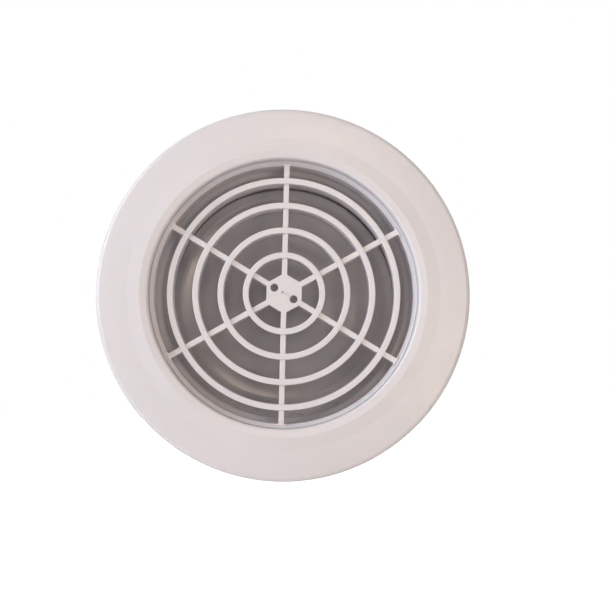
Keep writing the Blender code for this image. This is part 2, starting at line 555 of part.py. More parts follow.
def make_stator():
    """A C-shaped lamination stack closed by a bar that carries the coil, with a shading ring on each pole."""
    side, top, bottom = 24 * MM, 19.2 * MM, -20 * MM
    leg = 17 * MM
    right = [(leg, top), (leg, BAR_HIGH), (side - MM, BAR_HIGH), (side, BAR_HIGH - MM)]
    right += [(side, bottom + 3 * MM), (side - 3 * MM, bottom)]
    outline = right + [(-x, z) for x, z in reversed(right)]
    shading = [(radians(35), radians(60)), (radians(215), radians(240))]
    shading_r = 15.6 * MM
    spots = [[(shading_r * cos(a), shading_r * sin(a)) for a in pair] for pair in shading]
    holes = [circle(0, 0, STATOR_BORE, MEDIUM)]
    holes += [circle(x, 0, 2.3 * MM, TINY) for x in (-MOTOR_SCREW_X, MOTOR_SCREW_X)]
    holes += [circle(x, z, 1.2 * MM, TINY) for pair in spots for x, z in pair]
    flat("stator_core", [outline, *holes], "XZ", STACK_FRONT, STACK_BACK, LAMINATE)
    end = leg - GAP
    box("coil_core_bar", (-end, STACK_FRONT, BAR_LOW), (end, STACK_BACK, BAR_HIGH), LAMINATE)

    front, back = STACK_FRONT - 1.5 * MM, STACK_BACK + 1.5 * MM
    for i, ((x0, z0), (x1, z1)) in enumerate(spots):
        corners = [(x0, STACK_MID, z0), (x0, front, z0), (x1, front, z1), (x1, back, z1), (x0, back, z0)]
        ring = wire(f"shading_ring_{i + 1}", corners, 0.75 * MM, COPPER, sides_over_four=1)
        ring.data.splines[0].use_cyclic_u = True


def make_coil():
    """The bobbin slides on the bar, and holds the winding."""
    front, back = 107.6 * MM, 124.4 * MM
    low, high = 26.1 * MM, 36.9 * MM
    wall = 1.1 * MM
    core = [rounded_rectangle(front, back, low, high, MM)]
    room = [rounded_rectangle(front + wall, back - wall, low + wall, high - wall, 0.3 * MM)]
    flange = [rounded_rectangle(102.5 * MM, 129.5 * MM, 20.5 * MM, 42.5 * MM, 2 * MM)]
    bobbin = flat("coil_bobbin", core + room, "YZ", -15.5 * MM, 15.5 * MM, NYLON)
    for i, side in enumerate((-1, 1)):
        x0, x1 = sorted((side * 15 * MM, side * 16 * MM))
        join(bobbin, flat(f"bobbin_flange_{i}", flange + room, "YZ", x0, x1))
    gap_hole = [rounded_rectangle(front - GAP, back + GAP, low - GAP, high + GAP, MM)]
    outer = [rounded_rectangle(103.5 * MM, 128.5 * MM, 21.6 * MM, 41.4 * MM, 4 * MM)]
    flat("coil_winding", outer + gap_hole, "YZ", -14.6 * MM, 14.6 * MM, COPPER)


def make_bearings():
    """At each end of the stack: a strap with a cup, and in the cup a bearing and its retainer."""
    for name, sign in (("front", -1), ("rear", 1)):
        face = STACK_MID + sign * (STACK_BACK - STACK_MID)

        def off(distance, face=face, sign=sign):
            return face + sign * distance

        half = [(24.5, 0.3), (24.5, 1.8), (14.9, 1.8), (13.6, 6.6), (0, 6.6)]
        under = [(0, 5.1), (12.4, 5.1), (13.7, 0.3)]
        right = [(x * MM, off(d * MM)) for x, d in half]
        inner = [(x * MM, off(d * MM)) for x, d in under]
        outline = right + [(-x, y) for x, y in reversed(right[:-1])]
        outline += [(-x, y) for x, y in reversed(inner[1:])] + inner
        strap = flat(f"{name}_bearing_bracket", [outline], "XY", -6.5 * MM, 6.5 * MM, ZINC)
        cup0, cup1 = sorted((off(3.8 * MM), off(9.3 * MM)))
        join(strap, cylinder(f"{name}_cup", 8.2 * MM, cup0, cup1, MEDIUM))
        room0, room1 = sorted((off(2 * MM), off(8.3 * MM)))
        cut(strap, cylinder(f"{name}_cup_room", 6.6 * MM, room0, room1, MEDIUM))
        hole0, hole1 = sorted((off(-MM), off(12 * MM)))
        cut(strap, cylinder(f"{name}_cup_hole", 3.6 * MM, hole0, hole1, SMALL))
        for i, x in enumerate((-MOTOR_SCREW_X, MOTOR_SCREW_X)):
            cut(strap, cylinder(f"{name}_foot_{i}", 2.2 * MM, hole0, hole1, TINY, centre=(x, 0)))
        ball = [(SHAFT_HOLE, 4.3), (3.8, 4.3), (4.8, 5.2), (4.8, 7.1), (3.8, 8.0), (SHAFT_HOLE, 8.0)]
        outline = [(r if r == SHAFT_HOLE else r * MM, off(d * MM)) for r, d in ball]
        turned(f"{name}_bearing", outline, SMALL, BRONZE)
        held = sorted((off(3.5 * MM), off(4.0 * MM)))
        washer(f"{name}_bearing_retainer", 3.4 * MM, 6.3 * MM, *held, SMALL, STEEL)


def make_motor_support():
    """A plate on four arms inside a band, and what holds the motor to it and it to the housing."""
    support = washer("motor_support", BAND_IN, BAND_OUT, BAND_FRONT, BAND_BACK, LARGE, SHELL)
    plate_r = 26 * MM
    join(support, washer("support_plate", 10.5 * MM, plate_r, SUPPORT_FRONT, SUPPORT_BACK, MEDIUM))
    for i, angle in enumerate(SUPPORT_ANGLES):
        low = (24.5 * MM, SUPPORT_FRONT + 0.2 * MM, -3 * MM)
        arm = box(f"support_arm_{i}", low, (45.5 * MM, SUPPORT_BACK + 0.6 * MM, 3 * MM))
        boss = box(f"support_boss_{i}", (38 * MM, 95 * MM, -3.6 * MM), (45.3 * MM, 100.3 * MM, 3.6 * MM))
        pilot = cylinder(f"support_pilot_{i}", 1.4 * MM, 39 * MM, 50 * MM, TINY, axis="X", centre=(98 * MM, 0))
        join(support, swing(arm, angle), swing(boss, angle))
        cut(support, swing(pilot, angle))
        screw = screw_shape(f"support_screw_{i + 1}", MM, 2.4 * MM, 51 * MM, 49.7 * MM, 41 * MM, "X", (98 * MM, 0))
        swing(screw, angle)
    head = STACK_BACK + 2.1 * MM
    rubber = (POST_BACK + GAP, STACK_FRONT - 2.1 * MM)
    nut = (SUPPORT_FRONT - 2.3 * MM, SUPPORT_FRONT - GAP)
    for i, x in enumerate((-MOTOR_SCREW_X, MOTOR_SCREW_X)):
        spot = (x, 0)
        join(support, cylinder(f"support_post_{i}", 4.2 * MM, SUPPORT_FRONT + 0.1 * MM, POST_BACK, SMALL, centre=spot))
        cut(support, cylinder(f"post_hole_{i}", 2.1 * MM, 90 * MM, 108 * MM, SMALL, centre=spot))
        washer(f"vibration_washer_{i + 1}", 2.1 * MM, 4.2 * MM, *rubber, SMALL, RUBBER, centre=spot)
        screw_shape(f"motor_screw_{i + 1}", MOTOR_SCREW_R, 3.6 * MM, head + 2 * MM, head, 94.2 * MM, "Y", spot)
        washer(f"motor_nut_{i + 1}", MOTOR_SCREW_R + 2 * GAP, 3.6 * MM, *nut, 6, STEEL, centre=spot)


def make_leads():
    """Two insulated leads: over the coil's front edge, up through the grommet, and into the terminal block."""
    z = WIRE_Z / MM
    winding = [[(3.0, 101.3, 35), (3.2, 100.9, 41), (4.6, 101.6, 43.3)], [(6.6, 101.3, 35), (6.8, 100.9, 41)]]
    through = [[(6.9, 104.6, 44.2), (7.8, 106.9, 46.4), (7.8, 107, 51)], [(8.4, 102.2, 43.1), (10, 105.2, 44.2)]]
    into = [
        [(8.2, 104.6, 53.8), (9.6, 101, 54), (10.9, 97.6, z), (10.4, 95, z), (8.4, 94, z), (4.6, 94, z)],
        [(10.3, 106.9, 46.6), (10.3, 107, 51.4), (12, 105, 53.6), (13.5, 101, z), (13.5, 91, z), (12.6, 87.6, z)]
        + [(10.2, 86, z), (4.6, 86, z)],
    ]
    for i, parts in enumerate(zip(winding, through, into)):
        corners = [Vector(point) * MM for part in parts for point in part]
        wire(f"motor_lead_{i + 1}", smooth_route(corners, 2.2 * MM), LEAD_R, WIRE)


# --- Spring clips ---


def clip_path(side):
    """The wire of one clip: a cross bar, a coil, a leg out to a round end, and the same again mirrored in z."""
    leg = Vector((cos(CLIP_REST), sin(CLIP_REST)))
    start = CLIP_REST - pi / 2
    turns = (start % (2 * pi)) + 2 * pi
    coil_steps = 19

    def spot(flat_place, z):
        return (side * (PIVOT_X + flat_place[0]), PIVOT_Y + flat_place[1], z)

    half = [((CLIP_COIL_R, 0), 0.5 * MM)]
    for i in range(coil_steps + 1):
        part = i / coil_steps
        a = start - turns * (1 - part)
        z = CLIP_INNER_Z + (CLIP_LEG_Z - CLIP_INNER_Z) * part
        half.append(((CLIP_COIL_R * cos(a), CLIP_COIL_R * sin(a)), z))
    base = Vector((cos(start), sin(start))) * CLIP_COIL_R
    bend = CLIP_REACH - CLIP_LEG_Z
    end_steps = 4
    for i in range(end_steps + 1):
        a = pi / 2 * i / end_steps
        half.append((base + leg * (bend + CLIP_LEG_Z * sin(a)), CLIP_LEG_Z * cos(a)))
    whole = [spot(p, z) for p, z in half] + [spot(p, -z) for p, z in reversed(half[:-1])]
    return whole


def make_clips():
    """On each side: a bracket screwed to the housing, a pin, and a sprung wire that grips the board's back."""
    for name, side in (("left", -1), ("right", 1)):

        def span(x0, x1, side=side):
            return sorted((side * x0 * MM, side * x1 * MM))

        x0, x1 = span(52.3, 53.3)
        bracket = box(f"clip_bracket_{name}", (x0, 20.5 * MM, -10 * MM), (x1, 39 * MM, 10 * MM), STEEL)
        x0, x1 = span(52.9, 60)
        for i, z in enumerate((-9.5 * MM, 9.5 * MM)):
            ear = box(f"clip_ear_{name}_{i}", (x0, 22 * MM, z - 0.48 * MM), (x1, 30 * MM, z + 0.48 * MM))
            join(bracket, ear)
        pivot = (side * PIVOT_X, PIVOT_Y)
        cut(bracket, cylinder(f"clip_pin_hole_{name}", 1.5 * MM, -12 * MM, 12 * MM, SMALL, axis="Z", centre=pivot))
        x0, x1 = span(50, 56)
        cut(bracket, cylinder(f"clip_screw_hole_{name}", 1.6 * MM, x0, x1, TINY, axis="X", centre=(BRACKET_SCREW_Y, 0)))
        cylinder(f"clip_pin_{name}", 1.2 * MM, -11.2 * MM, 11.2 * MM, SMALL, STEEL, "Z", pivot)
        clip = wire(f"spring_clip_{name}", clip_path(side), CLIP_WIRE, STEEL, 1)
        joint_at(f"spring_clip_{name}_hinge", (*pivot, 0), clip)
        ends = (side * 55 * MM, side * 53.6 * MM, side * 49.2 * MM)
        screw_shape(f"bracket_screw_{name}", 1.1 * MM, 2.4 * MM, *ends, "X", (BRACKET_SCREW_Y, 0))


make_bezel()
make_grille()
make_housing()
make_terminals()
make_damper()
make_impeller()
make_stator()
make_coil()
make_bearings()
make_motor_support()
make_leads()
make_clips()
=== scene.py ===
"""The looks of a flush-mounted bathroom extractor fan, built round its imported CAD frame.

Lengths are in metres, except for the edges' roundings that tube, rod, block and plate take in millimetres.
The fan's axis is Y, its grille faces -Y, and +Z is up.
"""

from math import acos, cos, pi, radians, sin, tan

import bmesh
import bpy
from mathutils import Matrix, Vector


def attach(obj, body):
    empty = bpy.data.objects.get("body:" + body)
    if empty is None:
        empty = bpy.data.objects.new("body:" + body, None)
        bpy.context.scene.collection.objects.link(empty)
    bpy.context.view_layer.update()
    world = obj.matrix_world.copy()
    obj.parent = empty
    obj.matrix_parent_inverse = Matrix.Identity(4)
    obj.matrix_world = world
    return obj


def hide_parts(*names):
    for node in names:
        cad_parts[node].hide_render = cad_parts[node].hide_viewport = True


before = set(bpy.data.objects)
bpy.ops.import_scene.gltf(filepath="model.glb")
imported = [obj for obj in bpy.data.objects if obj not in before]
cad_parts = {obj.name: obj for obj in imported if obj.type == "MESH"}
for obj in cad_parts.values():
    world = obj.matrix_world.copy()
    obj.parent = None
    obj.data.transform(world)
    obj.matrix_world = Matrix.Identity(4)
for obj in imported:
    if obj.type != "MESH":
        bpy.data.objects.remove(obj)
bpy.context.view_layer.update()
MM = 0.001
CASE, ROTOR, GRILLE = "fan_case", "impeller_and_rotor", "grille_insert"


def metres(*sizes):
    """The same sizes, given in millimetres."""
    return [size * MM for size in sizes]


# --- Sizes, as in the CAD model ---

GAP = 0.3 * MM
THIRDS = [radians(a) for a in (30, 150, 270)]
SIDES = (("left", -1), ("right", 1))
SNAP_Y0, SNAP_Y1, SNAP_W = metres(11.4, 14.6, 7.2)
RIM_IN, RIM_OUT, RIM_CREST, RIM_FRONT, RIM_BACK = metres(49, 50.2, -1.3, 0.2, 9.0)
RING_IN, RING_PITCH, RING_W, RING_FRONT, RING_BACK = metres(13.26, 9.46, 2.3, -1.4, 6.8)
SPOKE_W, SPOKE_FRONT, SPOKE_BACK = metres(2.1, -0.5, 6.2)
RINGS, SPOKES = 4, 6
HUB_CORNER_R, HUB_BACK, HUB_HOLE_R, HUB_HOLE_AT = metres(7.7, 4.6, 1.45, 4.25)
HUB_HOLE_ANGLE = radians(150)

SPINDLE_Y, SPINDLE_HALF = metres(28.4, 47)
ON_SPINDLE = ("Z", (0, SPINDLE_Y))
FLAP_R, FLAP_FRONT, FLAP_BACK, FLAP_SEAM = metres(46.3, 24.3, 25.5, 0.4)
KNUCKLE_R, KNUCKLE_BORE, KNUCKLE_L = metres(2.2, 1.35, 8)
FLAP_SPRING_R, FLAP_SPRING_WIRE, FLAP_SPRING_HALF, FLAP_SPRING_LEG = metres(2.0, 0.25, 6, 11)

PAD_X, PAD_Y0, PAD_Y1 = metres(52, 19.5, 39.5)
BRACKET_SCREW_Y, SUPPORT_SCREW_Y = metres(35.4, 98)

BOX_X, BOX_WALL, BOX_Y0, BOX_Y1 = metres(17, 2, 74, 114)
BOX_FLOOR, BOX_RIM, LID_TOP = metres(49.9, 59.2, 61.5)
POLES, POLE_SCREWS = metres(86, 94), metres(-3.2, 3.2)
WIRE_Z = 53 * MM
CABLE_X, CABLE_Z, CABLE_HOLE_R = metres(-7, 54.6, 4)
LEAD_X, LEAD_Y, LEAD_HOLE_R, LEAD_R = metres(9, 107, 3.3, 0.9)
LID_SCREWS = [metres(12.4, 78.2), metres(-12.4, 78.2)]
CLAMP_SCREWS = [metres(-12.6, 104), metres(-1.4, 104)]

BLADES, BLADE_TIP_R, BLADE_MID = 6, 45.4 * MM, 85 * MM
SHAFT_HOLE = 2.5 * MM + GAP
STACK_FRONT, STACK_BACK = metres(109, 123)
STACK_MID = (STACK_FRONT + STACK_BACK) / 2
ROTOR_R, STATOR_BORE = metres(12.8, 13.3)
CAGE_IN, CAGE_OUT, CAGE_DEPTH = metres(7, 12.4, 2.5)
CAGE_BARS, CAGE_BAR_R, CAGE_BAR_AT = 6, 0.9 * MM, 10.8 * MM
MOTOR_SCREWS = metres(-19.5, 19.5)
SUPPORT_FRONT, SUPPORT_BACK, POST_BACK = metres(97, 99.5, 105.2)
BAND_IN, BAND_OUT, BAND_FRONT, BAND_BACK = metres(44.6, 46.6, 94, 100.5)

PIVOT_X, PIVOT_Y = metres(57.5, 26)
CLIP_WIRE, CLIP_COIL_R, CLIP_REACH, CLIP_LEG_Z, CLIP_INNER_Z = metres(0.8, 2.4, 22, 7.6, 3.4)
CLIP_REST = radians(-60)

# --- Meshes ---

# The degrees by which an edge turns where it stays sharp: mostly, after a Boolean, on small shapes, on wires.
SHARP, SHARP_CUT, SHARP_SMALL, SHARP_WIRE = 38, 30, 50, 60
# Half the angle of a corner too flat to round, and how much of a side one rounding may take.
STRAIGHT, SIDE_SHARE = radians(88), 0.48
WELD = 0.002 * MM
DRILL_EDGE = 0.1


def add(name, data):
    obj = bpy.data.objects.new(name, data)
    bpy.context.scene.collection.objects.link(obj)
    return obj


def to_object(name, shape, sharp=SHARP):
    """An object of a bmesh, shaded smooth except at edges sharper than that many degrees."""
    mesh = bpy.data.meshes.new(name)
    bmesh.ops.recalc_face_normals(shape, faces=shape.faces)
    shape.to_mesh(mesh)
    shape.free()
    mesh.shade_smooth()
    mesh.set_sharp_from_angle(angle=radians(sharp))
    return add(name, mesh)


def rounded(points, steps=3):
    """The outline with each (x, y, radius) corner rounded off."""
    out = []
    count = len(points)
    for i, point in enumerate(points):
        here = Vector(point[:2])
        radius = point[2] if len(point) > 2 else 0
        if not radius:
            out.append(tuple(here))
            continue
        to_last = Vector(points[i - 1][:2]) - here
        to_next = Vector(points[(i + 1) % count][:2]) - here
        last_length, next_length = to_last.length, to_next.length
        to_last.normalize()
        to_next.normalize()
        half = to_last.angle(to_next) / 2
        if half > STRAIGHT:
            out.append(tuple(here))
            continue
        along = min(radius / tan(half), last_length * SIDE_SHARE, next_length * SIDE_SHARE)
        radius = along * tan(half)
        centre = here + (to_last + to_next).normalized() * radius / sin(half)
        start, end = here + to_last * along - centre, here + to_next * along - centre
        sweep = start.angle_signed(end)
        for k in range(steps + 1):
            out.append(tuple(centre + Matrix.Rotation(-sweep * k / steps, 2) @ start))
    return out


def mm(points):
    """The same points, given in millimetres."""
    return [tuple(value * MM for value in point) for point in points]


def lathe_shape(outline, steps):
    """A bmesh of an outline of (radius, along) turned about the Y axis. It may start and end on the axis."""
    shape = bmesh.new()
    columns = []
    for i in range(steps):
        a = 2 * pi * i / steps
        column = []
        for r, y in outline:
            if r == 0:
                column.append(None if i else shape.verts.new((0, y, 0)))
            else:
                column.append(shape.verts.new((r * cos(a), y, r * sin(a))))
        columns.append(column)
    for column in columns[1:]:
        for k, vertex in enumerate(column):
            if vertex is None:
                column[k] = columns[0][k]
    count = len(outline)
    closed = outline[0][0] > 0
    for i in range(steps):
        here, there = columns[i], columns[(i + 1) % steps]
        for k in range(count if closed else count - 1):
            corners = [here[k], here[(k + 1) % count], there[(k + 1) % count], there[k]]
            corners = [v for n, v in enumerate(corners) if v not in corners[:n]]
            if len(corners) > 2:
                shape.faces.new(corners)
    bmesh.ops.recalc_face_normals(shape, faces=shape.faces)
    return shape


AXIS_TURN = {"Y": Matrix(), "Z": Matrix.Rotation(pi / 2, 4, "X"), "X": Matrix.Rotation(-pi / 2, 4, "Z")}


def at(axis, centre):
    first, second = centre
    spot = {"X": (0, first, second), "Y": (first, 0, second), "Z": (first, second, 0)}[axis]
    return Matrix.Translation(spot) @ AXIS_TURN[axis]


def lathe(name, outline, steps, axis="Y", centre=(0, 0), sharp=SHARP):
    shape = lathe_shape(outline, steps)
    shape.transform(at(axis, centre))
    return to_object(name, shape, sharp)


def tube(name, inner, outer, start, end, edge=0.15, steps=96, axis="Y", centre=(0, 0)):
    edge *= MM
    corners = [(inner, start, edge), (outer, start, edge), (outer, end, edge), (inner, end, edge)]
    return lathe(name, rounded(corners), steps, axis, centre)


def rod(name, radius, start, end, edge=0.2, steps=48, axis="Y", centre=(0, 0)):
    edge *= MM
    corners = [(0, start), (radius, start, edge), (radius, end, edge), (0, end)]
    return lathe(name, rounded(corners), steps, axis, centre)


def drill(name, radius, start, end, axis="Y", centre=(0, 0), steps=32):
    """A rod to cut a hole with."""
    return rod(name, radius, start, end, DRILL_EDGE, steps, axis, centre)


def block(name, low, high, edge=0.3, segments=3):
    """A box with rounded edges."""
    low, high = Vector(low), Vector(high)
    shape = bmesh.new()
    size = Matrix.Diagonal((*(high - low), 1))
    bmesh.ops.create_cube(shape, size=1, matrix=Matrix.Translation((low + high) / 2) @ size)
    shaping = {"segments": segments, "profile": 0.5, "affect": "EDGES", "clamp_overlap": True}
    bmesh.ops.bevel(shape, geom=shape.edges[:], offset=edge * MM, **shaping)
    return to_object(name, shape, SHARP_SMALL)


PLANE_TURN = {
    "XY": Matrix(),
    "XZ": Matrix.Rotation(pi / 2, 4, "X"),
    "YZ": Matrix.Rotation(pi / 2, 4, "Z") @ Matrix.Rotation(pi / 2, 4, "X"),
}
PLANE_NORMAL = {"XY": Vector((0, 0, 1)), "XZ": Vector((0, 1, 0)), "YZ": Vector((1, 0, 0))}


def evaluated(obj):
    """A new mesh of what an object's curve or modifiers make."""
    graph = bpy.context.evaluated_depsgraph_get()
    return bpy.data.meshes.new_from_object(obj.evaluated_get(graph))


def apply_modifiers(obj):
    old, obj.data = obj.data, evaluated(obj)
    obj.modifiers.clear()
    obj.data.name = old.name
    bpy.data.meshes.remove(old)


def from_curve(name, curve, turn=Matrix(), sharp=SHARP):
    """An object of the mesh that a curve makes."""
    drawn = add(name + "_curve", curve)
    mesh = evaluated(drawn)
    bpy.data.objects.remove(drawn)
    shape = bmesh.new()
    shape.from_mesh(mesh)
    bpy.data.meshes.remove(mesh)
    bmesh.ops.remove_doubles(shape, verts=shape.verts, dist=WELD)
    shape.transform(turn)
    return to_object(name, shape, sharp)


def new_curve(name, routes, closed):
    curve = bpy.data.curves.new(name, "CURVE")
    curve.dimensions = "3D"
    for route in routes:
        spline = curve.splines.new("POLY")
        spline.points.add(len(route) - 1)
        for point, spot in zip(spline.points, route):
            point.co = (*spot, 1) if len(spot) == 3 else (*spot, 0, 1)
        spline.use_cyclic_u = closed
    return curve


def plate(name, outlines, plane, low, high, edge=0.2):
    """A plate of flat outlines, the first solid and the rest holes, with its edges rounded off."""
    edge *= MM
    curve = new_curve(name, outlines, True)
    curve.dimensions = "2D"
    curve.fill_mode = "BOTH"
    curve.extrude = (high - low) / 2 - edge
    curve.bevel_depth = edge
    curve.bevel_resolution = 1
    curve.offset = -edge
    turn = Matrix.Translation(PLANE_NORMAL[plane] * (low + high) / 2) @ PLANE_TURN[plane]
    return from_curve(name, curve, turn)


def wire(name, route, radius, closed=False, sides_over_four=3):
    """A round wire along a route, with its ends closed."""
    curve = new_curve(name, [route], closed)
    curve.bevel_depth = radius
    curve.bevel_resolution = sides_over_four
    curve.use_fill_caps = True
    return from_curve(name, curve, sharp=SHARP_WIRE)


def smooth_route(corners, spacing):
    """Points about spacing apart along a smooth curve through the corners."""
    ends = [corners[0] * 2 - corners[1], *corners, corners[-1] * 2 - corners[-2]]
    route = []
    for a, b, c, d in zip(ends, ends[1:], ends[2:], ends[3:]):
        count = max(1, round((c - b).length / spacing))
        for i in range(count):
            t = i / count
            bend = (b * 2) + (c - a) * t + (a * 2 - b * 5 + c * 4 - d) * t**2 + (b * 3 - a - c * 3 + d) * t**3
            route.append(bend / 2)
    return [*route, corners[-1]]


def circle(x, y, radius, steps=64):
    turns = [2 * pi * i / steps for i in range(steps)]
    return [(x + radius * cos(a), y + radius * sin(a)) for a in turns]


def toothed(hole_r, slot_r, teeth=6, steps=8):
    """A round hole with slots, which leave the teeth of a push-on fastener."""
    outline = []
    for i in range(teeth * steps):
        a = 2 * pi * i / (teeth * steps)
        radius = slot_r if i % steps in (0, 1) else hole_r
        outline.append((radius * cos(a), radius * sin(a)))
    return outline


def span(side, first, last):
    """Two places on one side of the fan, given as distances from its middle, in rising order."""
    return sorted((side * first, side * last))


def rectangle(x0, x1, y0, y1, radius, steps=6):
    return rounded([(x0, y0, radius), (x1, y0, radius), (x1, y1, radius), (x0, y1, radius)], steps=steps)


def swing(obj, angle):
    """Turns a piece about the fan's axis, from +X to that angle, anticlockwise seen from the front."""
    obj.data.transform(Matrix.Rotation(-angle, 4, "Y"))
    return obj


def discard(*pieces):
    for piece in pieces:
        mesh = piece.data
        bpy.data.objects.remove(piece)
        bpy.data.meshes.remove(mesh)


def combine(target, operation, *others):
    """Applies a Boolean of the others to the target's mesh, and removes them."""
    for other in others:
        change = target.modifiers.new("Boolean", "BOOLEAN")
        change.operation = operation
        change.object = other
        change.solver = "EXACT"
    apply_modifiers(target)
    discard(*others)
    target.data.shade_smooth()
    target.data.set_sharp_from_angle(angle=radians(SHARP_CUT))


def join(target, *others):
    combine(target, "UNION", *others)


def cut(target, *others):
    combine(target, "DIFFERENCE", *others)


def merge(target, *others):
    """Puts the others' meshes into the target's, as they are."""
    shape = bmesh.new()
    shape.from_mesh(target.data)
    for other in others:
        shape.from_mesh(other.data)
    discard(*others)
    shape.to_mesh(target.data)
    shape.free()


# --- Materials ---


def shade(colour, factor):
    return (*[min(1.0, max(0.0, value * factor)) for value in colour], 1)


def add_node(tree, kind, settings=None, inputs=None):
    node = tree.nodes.new(kind)
    for key, value in (settings or {}).items():
        setattr(node, key, value)
    for key, value in (inputs or {}).items():
        node.inputs[key].default_value = value
    return node


def noise(tree, coordinates, scale, detail, distortion=0.0):
    inputs = {"Scale": scale, "Detail": detail, "Distortion": distortion}
    node = add_node(tree, "ShaderNodeTexNoise", None, inputs)
    tree.links.new(coordinates, node.inputs["Vector"])
    return node.outputs["Fac"]


def ranged(tree, value, low, high, start=0.3, end=0.7):
    inputs = {"From Min": start, "From Max": end, "To Min": low, "To Max": high}
    node = add_node(tree, "ShaderNodeMapRange", None, inputs)
    tree.links.new(value, node.inputs["Value"])
    return node.outputs["Result"]


def mixed(tree, factor, first, second):
    """A colour mixed from two, each either a colour or another node's output."""
    node = add_node(tree, "ShaderNodeMix", {"data_type": "RGBA"})
    for key, value in (("Factor", factor), (6, first), (7, second)):
        socket = node.inputs[key]
        if isinstance(value, bpy.types.NodeSocket):
            tree.links.new(value, socket)
        else:
            socket.default_value = value
    return node.outputs[2]


CORNER_FROM, CORNER_TO = 0.51, 0.58
GRAIN_DEPTH = 0.2 * MM


def make_material(name, colour, roughness, metallic, spread, mottle, grain=1500, bump=0.05, **more):
    """A surface with mottled colour, uneven roughness and a fine grain.

    more: slot (not used), edge (how much paler the edges are),
    layers (how thick a stack's sheets are along Y), cells (how big foam's cells are), shader values.
    """
    made = bpy.data.materials.new(name)
    made.use_nodes = True
    tree = made.node_tree
    shader = tree.nodes["Principled BSDF"]
    link = tree.links.new
    shader.inputs["Metallic"].default_value = metallic
    more.pop("slot", name)
    edge, layers, cells = [more.pop(key, 0.0) for key in ("edge", "layers", "cells")]
    for key, value in more.items():
        shader.inputs[key.replace("_", " ")].default_value = value
    coordinates = add_node(tree, "ShaderNodeTexCoord").outputs["Object"]
    patches = noise(tree, coordinates, mottle, 4.0, 0.3)
    found = mixed(tree, ranged(tree, patches, 0, 1), shade(colour, 1 - spread), shade(colour, 1 + spread))
    if edge:
        corners = add_node(tree, "ShaderNodeNewGeometry").outputs["Pointiness"]
        paler = ranged(tree, corners, 0, 1, CORNER_FROM, CORNER_TO)
        found = mixed(tree, paler, found, shade(colour, 1 + edge))
    height = noise(tree, coordinates, grain, 2.0)
    if layers:
        inputs = {"Scale": 2 * pi / (20 * layers), "Distortion": 0.4}
        wave = add_node(tree, "ShaderNodeTexWave", {"bands_direction": "Y"}, inputs)
        link(coordinates, wave.inputs["Vector"])
        height = wave.outputs["Fac"]
        found = mixed(tree, ranged(tree, height, 0.35, 0, 0.0, 0.35), found, shade(colour, 0.3))
    if cells:
        cell = add_node(tree, "ShaderNodeTexVoronoi", None, {"Scale": 1 / cells})
        link(coordinates, cell.inputs["Vector"])
        height = cell.outputs["Distance"]
        found = mixed(tree, ranged(tree, height, 0.5, 0, 0.0, 0.5), found, shade(colour, 0.4))
    link(found, shader.inputs["Base Color"])
    worn = noise(tree, coordinates, mottle * 5, 5.0, 0.6)
    link(ranged(tree, worn, roughness * 0.85, min(1.0, roughness * 1.2)), shader.inputs["Roughness"])
    relief = add_node(tree, "ShaderNodeBump", None, {"Strength": bump, "Distance": GRAIN_DEPTH})
    link(height, relief.inputs["Height"])
    link(relief.outputs["Normal"], shader.inputs["Normal"])
    return made


WAXY = {"Subsurface_Weight": 0.12, "Subsurface_Scale": 0.002}
MILKY = {"Subsurface_Weight": 0.25, "Subsurface_Scale": 0.002}
LACQUER = {"Coat_Weight": 0.6, "Coat_Roughness": 0.12}
SLEEVE = {"bump": 0.06, "slot": "lead_insulation"}
WHITE = make_material("white_abs", (0.75, 0.713, 0.742), 0.36, 0, 0.015, 30, 1900, **WAXY)
SHELL = make_material("housing_plastic", (0.64, 0.62, 0.59), 0.5, 0, 0.02, 25, 1300, 0.14)
TAUPE = make_material("taupe_abs", (0.62, 0.595, 0.61), 0.3, 0, 0.04, 35, 900, 0.02)
# FLAP is the frame's taupe_abs again, drawn darker than TAUPE. This darker tone is painted shade, so that the
# lit flaps read as dim as the shaded throat round them. It is also glossier.
FLAP = make_material(
    "taupe_abs_polished_painted_shade", (0.39, 0.365, 0.385), 0.19, 0, 0.05, 30, 900, 0.015, slot="taupe_abs"
)
DARK = make_material("impeller_plastic", (0.055, 0.055, 0.06), 0.34, 0, 0.06, 60, edge=0.5)
NYLON = make_material("nylon", (0.76, 0.72, 0.62), 0.42, 0, 0.03, 90, bump=0.06, edge=0.05, **MILKY)
FOAM = make_material("foam", (0.055, 0.055, 0.058), 0.95, 0, 0.15, 200, bump=0.9, cells=0.0007)
RUBBER = make_material("black_rubber", (0.022, 0.022, 0.023), 0.62, 0, 0.15, 120, 2500, 0.15)
STEEL = make_material("bright_steel", (0.62, 0.62, 0.6), 0.26, 1, 0.06, 150, 3000, 0.06, edge=0.15)
SPRING = make_material("spring_steel", (0.5, 0.5, 0.49), 0.22, 1, 0.08, 120, bump=0.04, slot="bright_steel")
SHEET = make_material(
    "laminated_steel", (0.2, 0.21, 0.23), 0.42, 0.85, 0.1, 90, bump=0.5, layers=0.0005, edge=0.3
)
ZINC = make_material("cast_zinc", (0.42, 0.43, 0.45), 0.46, 1, 0.08, 120, 1200, 0.3)
ALUMINIUM = make_material("cast_aluminium", (0.68, 0.68, 0.69), 0.38, 1, 0.06, 150, bump=0.3)
COPPER = make_material("copper", (0.58, 0.2, 0.07), 0.24, 0.9, 0.12, 300, bump=0.04, **LACQUER)
BRASS = make_material("brass", (0.66, 0.46, 0.16), 0.25, 1, 0.07, 250, bump=0.06, edge=0.2)
BRONZE = make_material("sintered_bronze", (0.42, 0.26, 0.12), 0.5, 1, 0.12, 400, 4000, 0.3)
BLUE = make_material("lead_blue", (0.02, 0.07, 0.28), 0.36, 0, 0.06, 150, **SLEEVE)
BROWN = make_material("lead_brown", (0.13, 0.045, 0.018), 0.36, 0, 0.06, 150, **SLEEVE)


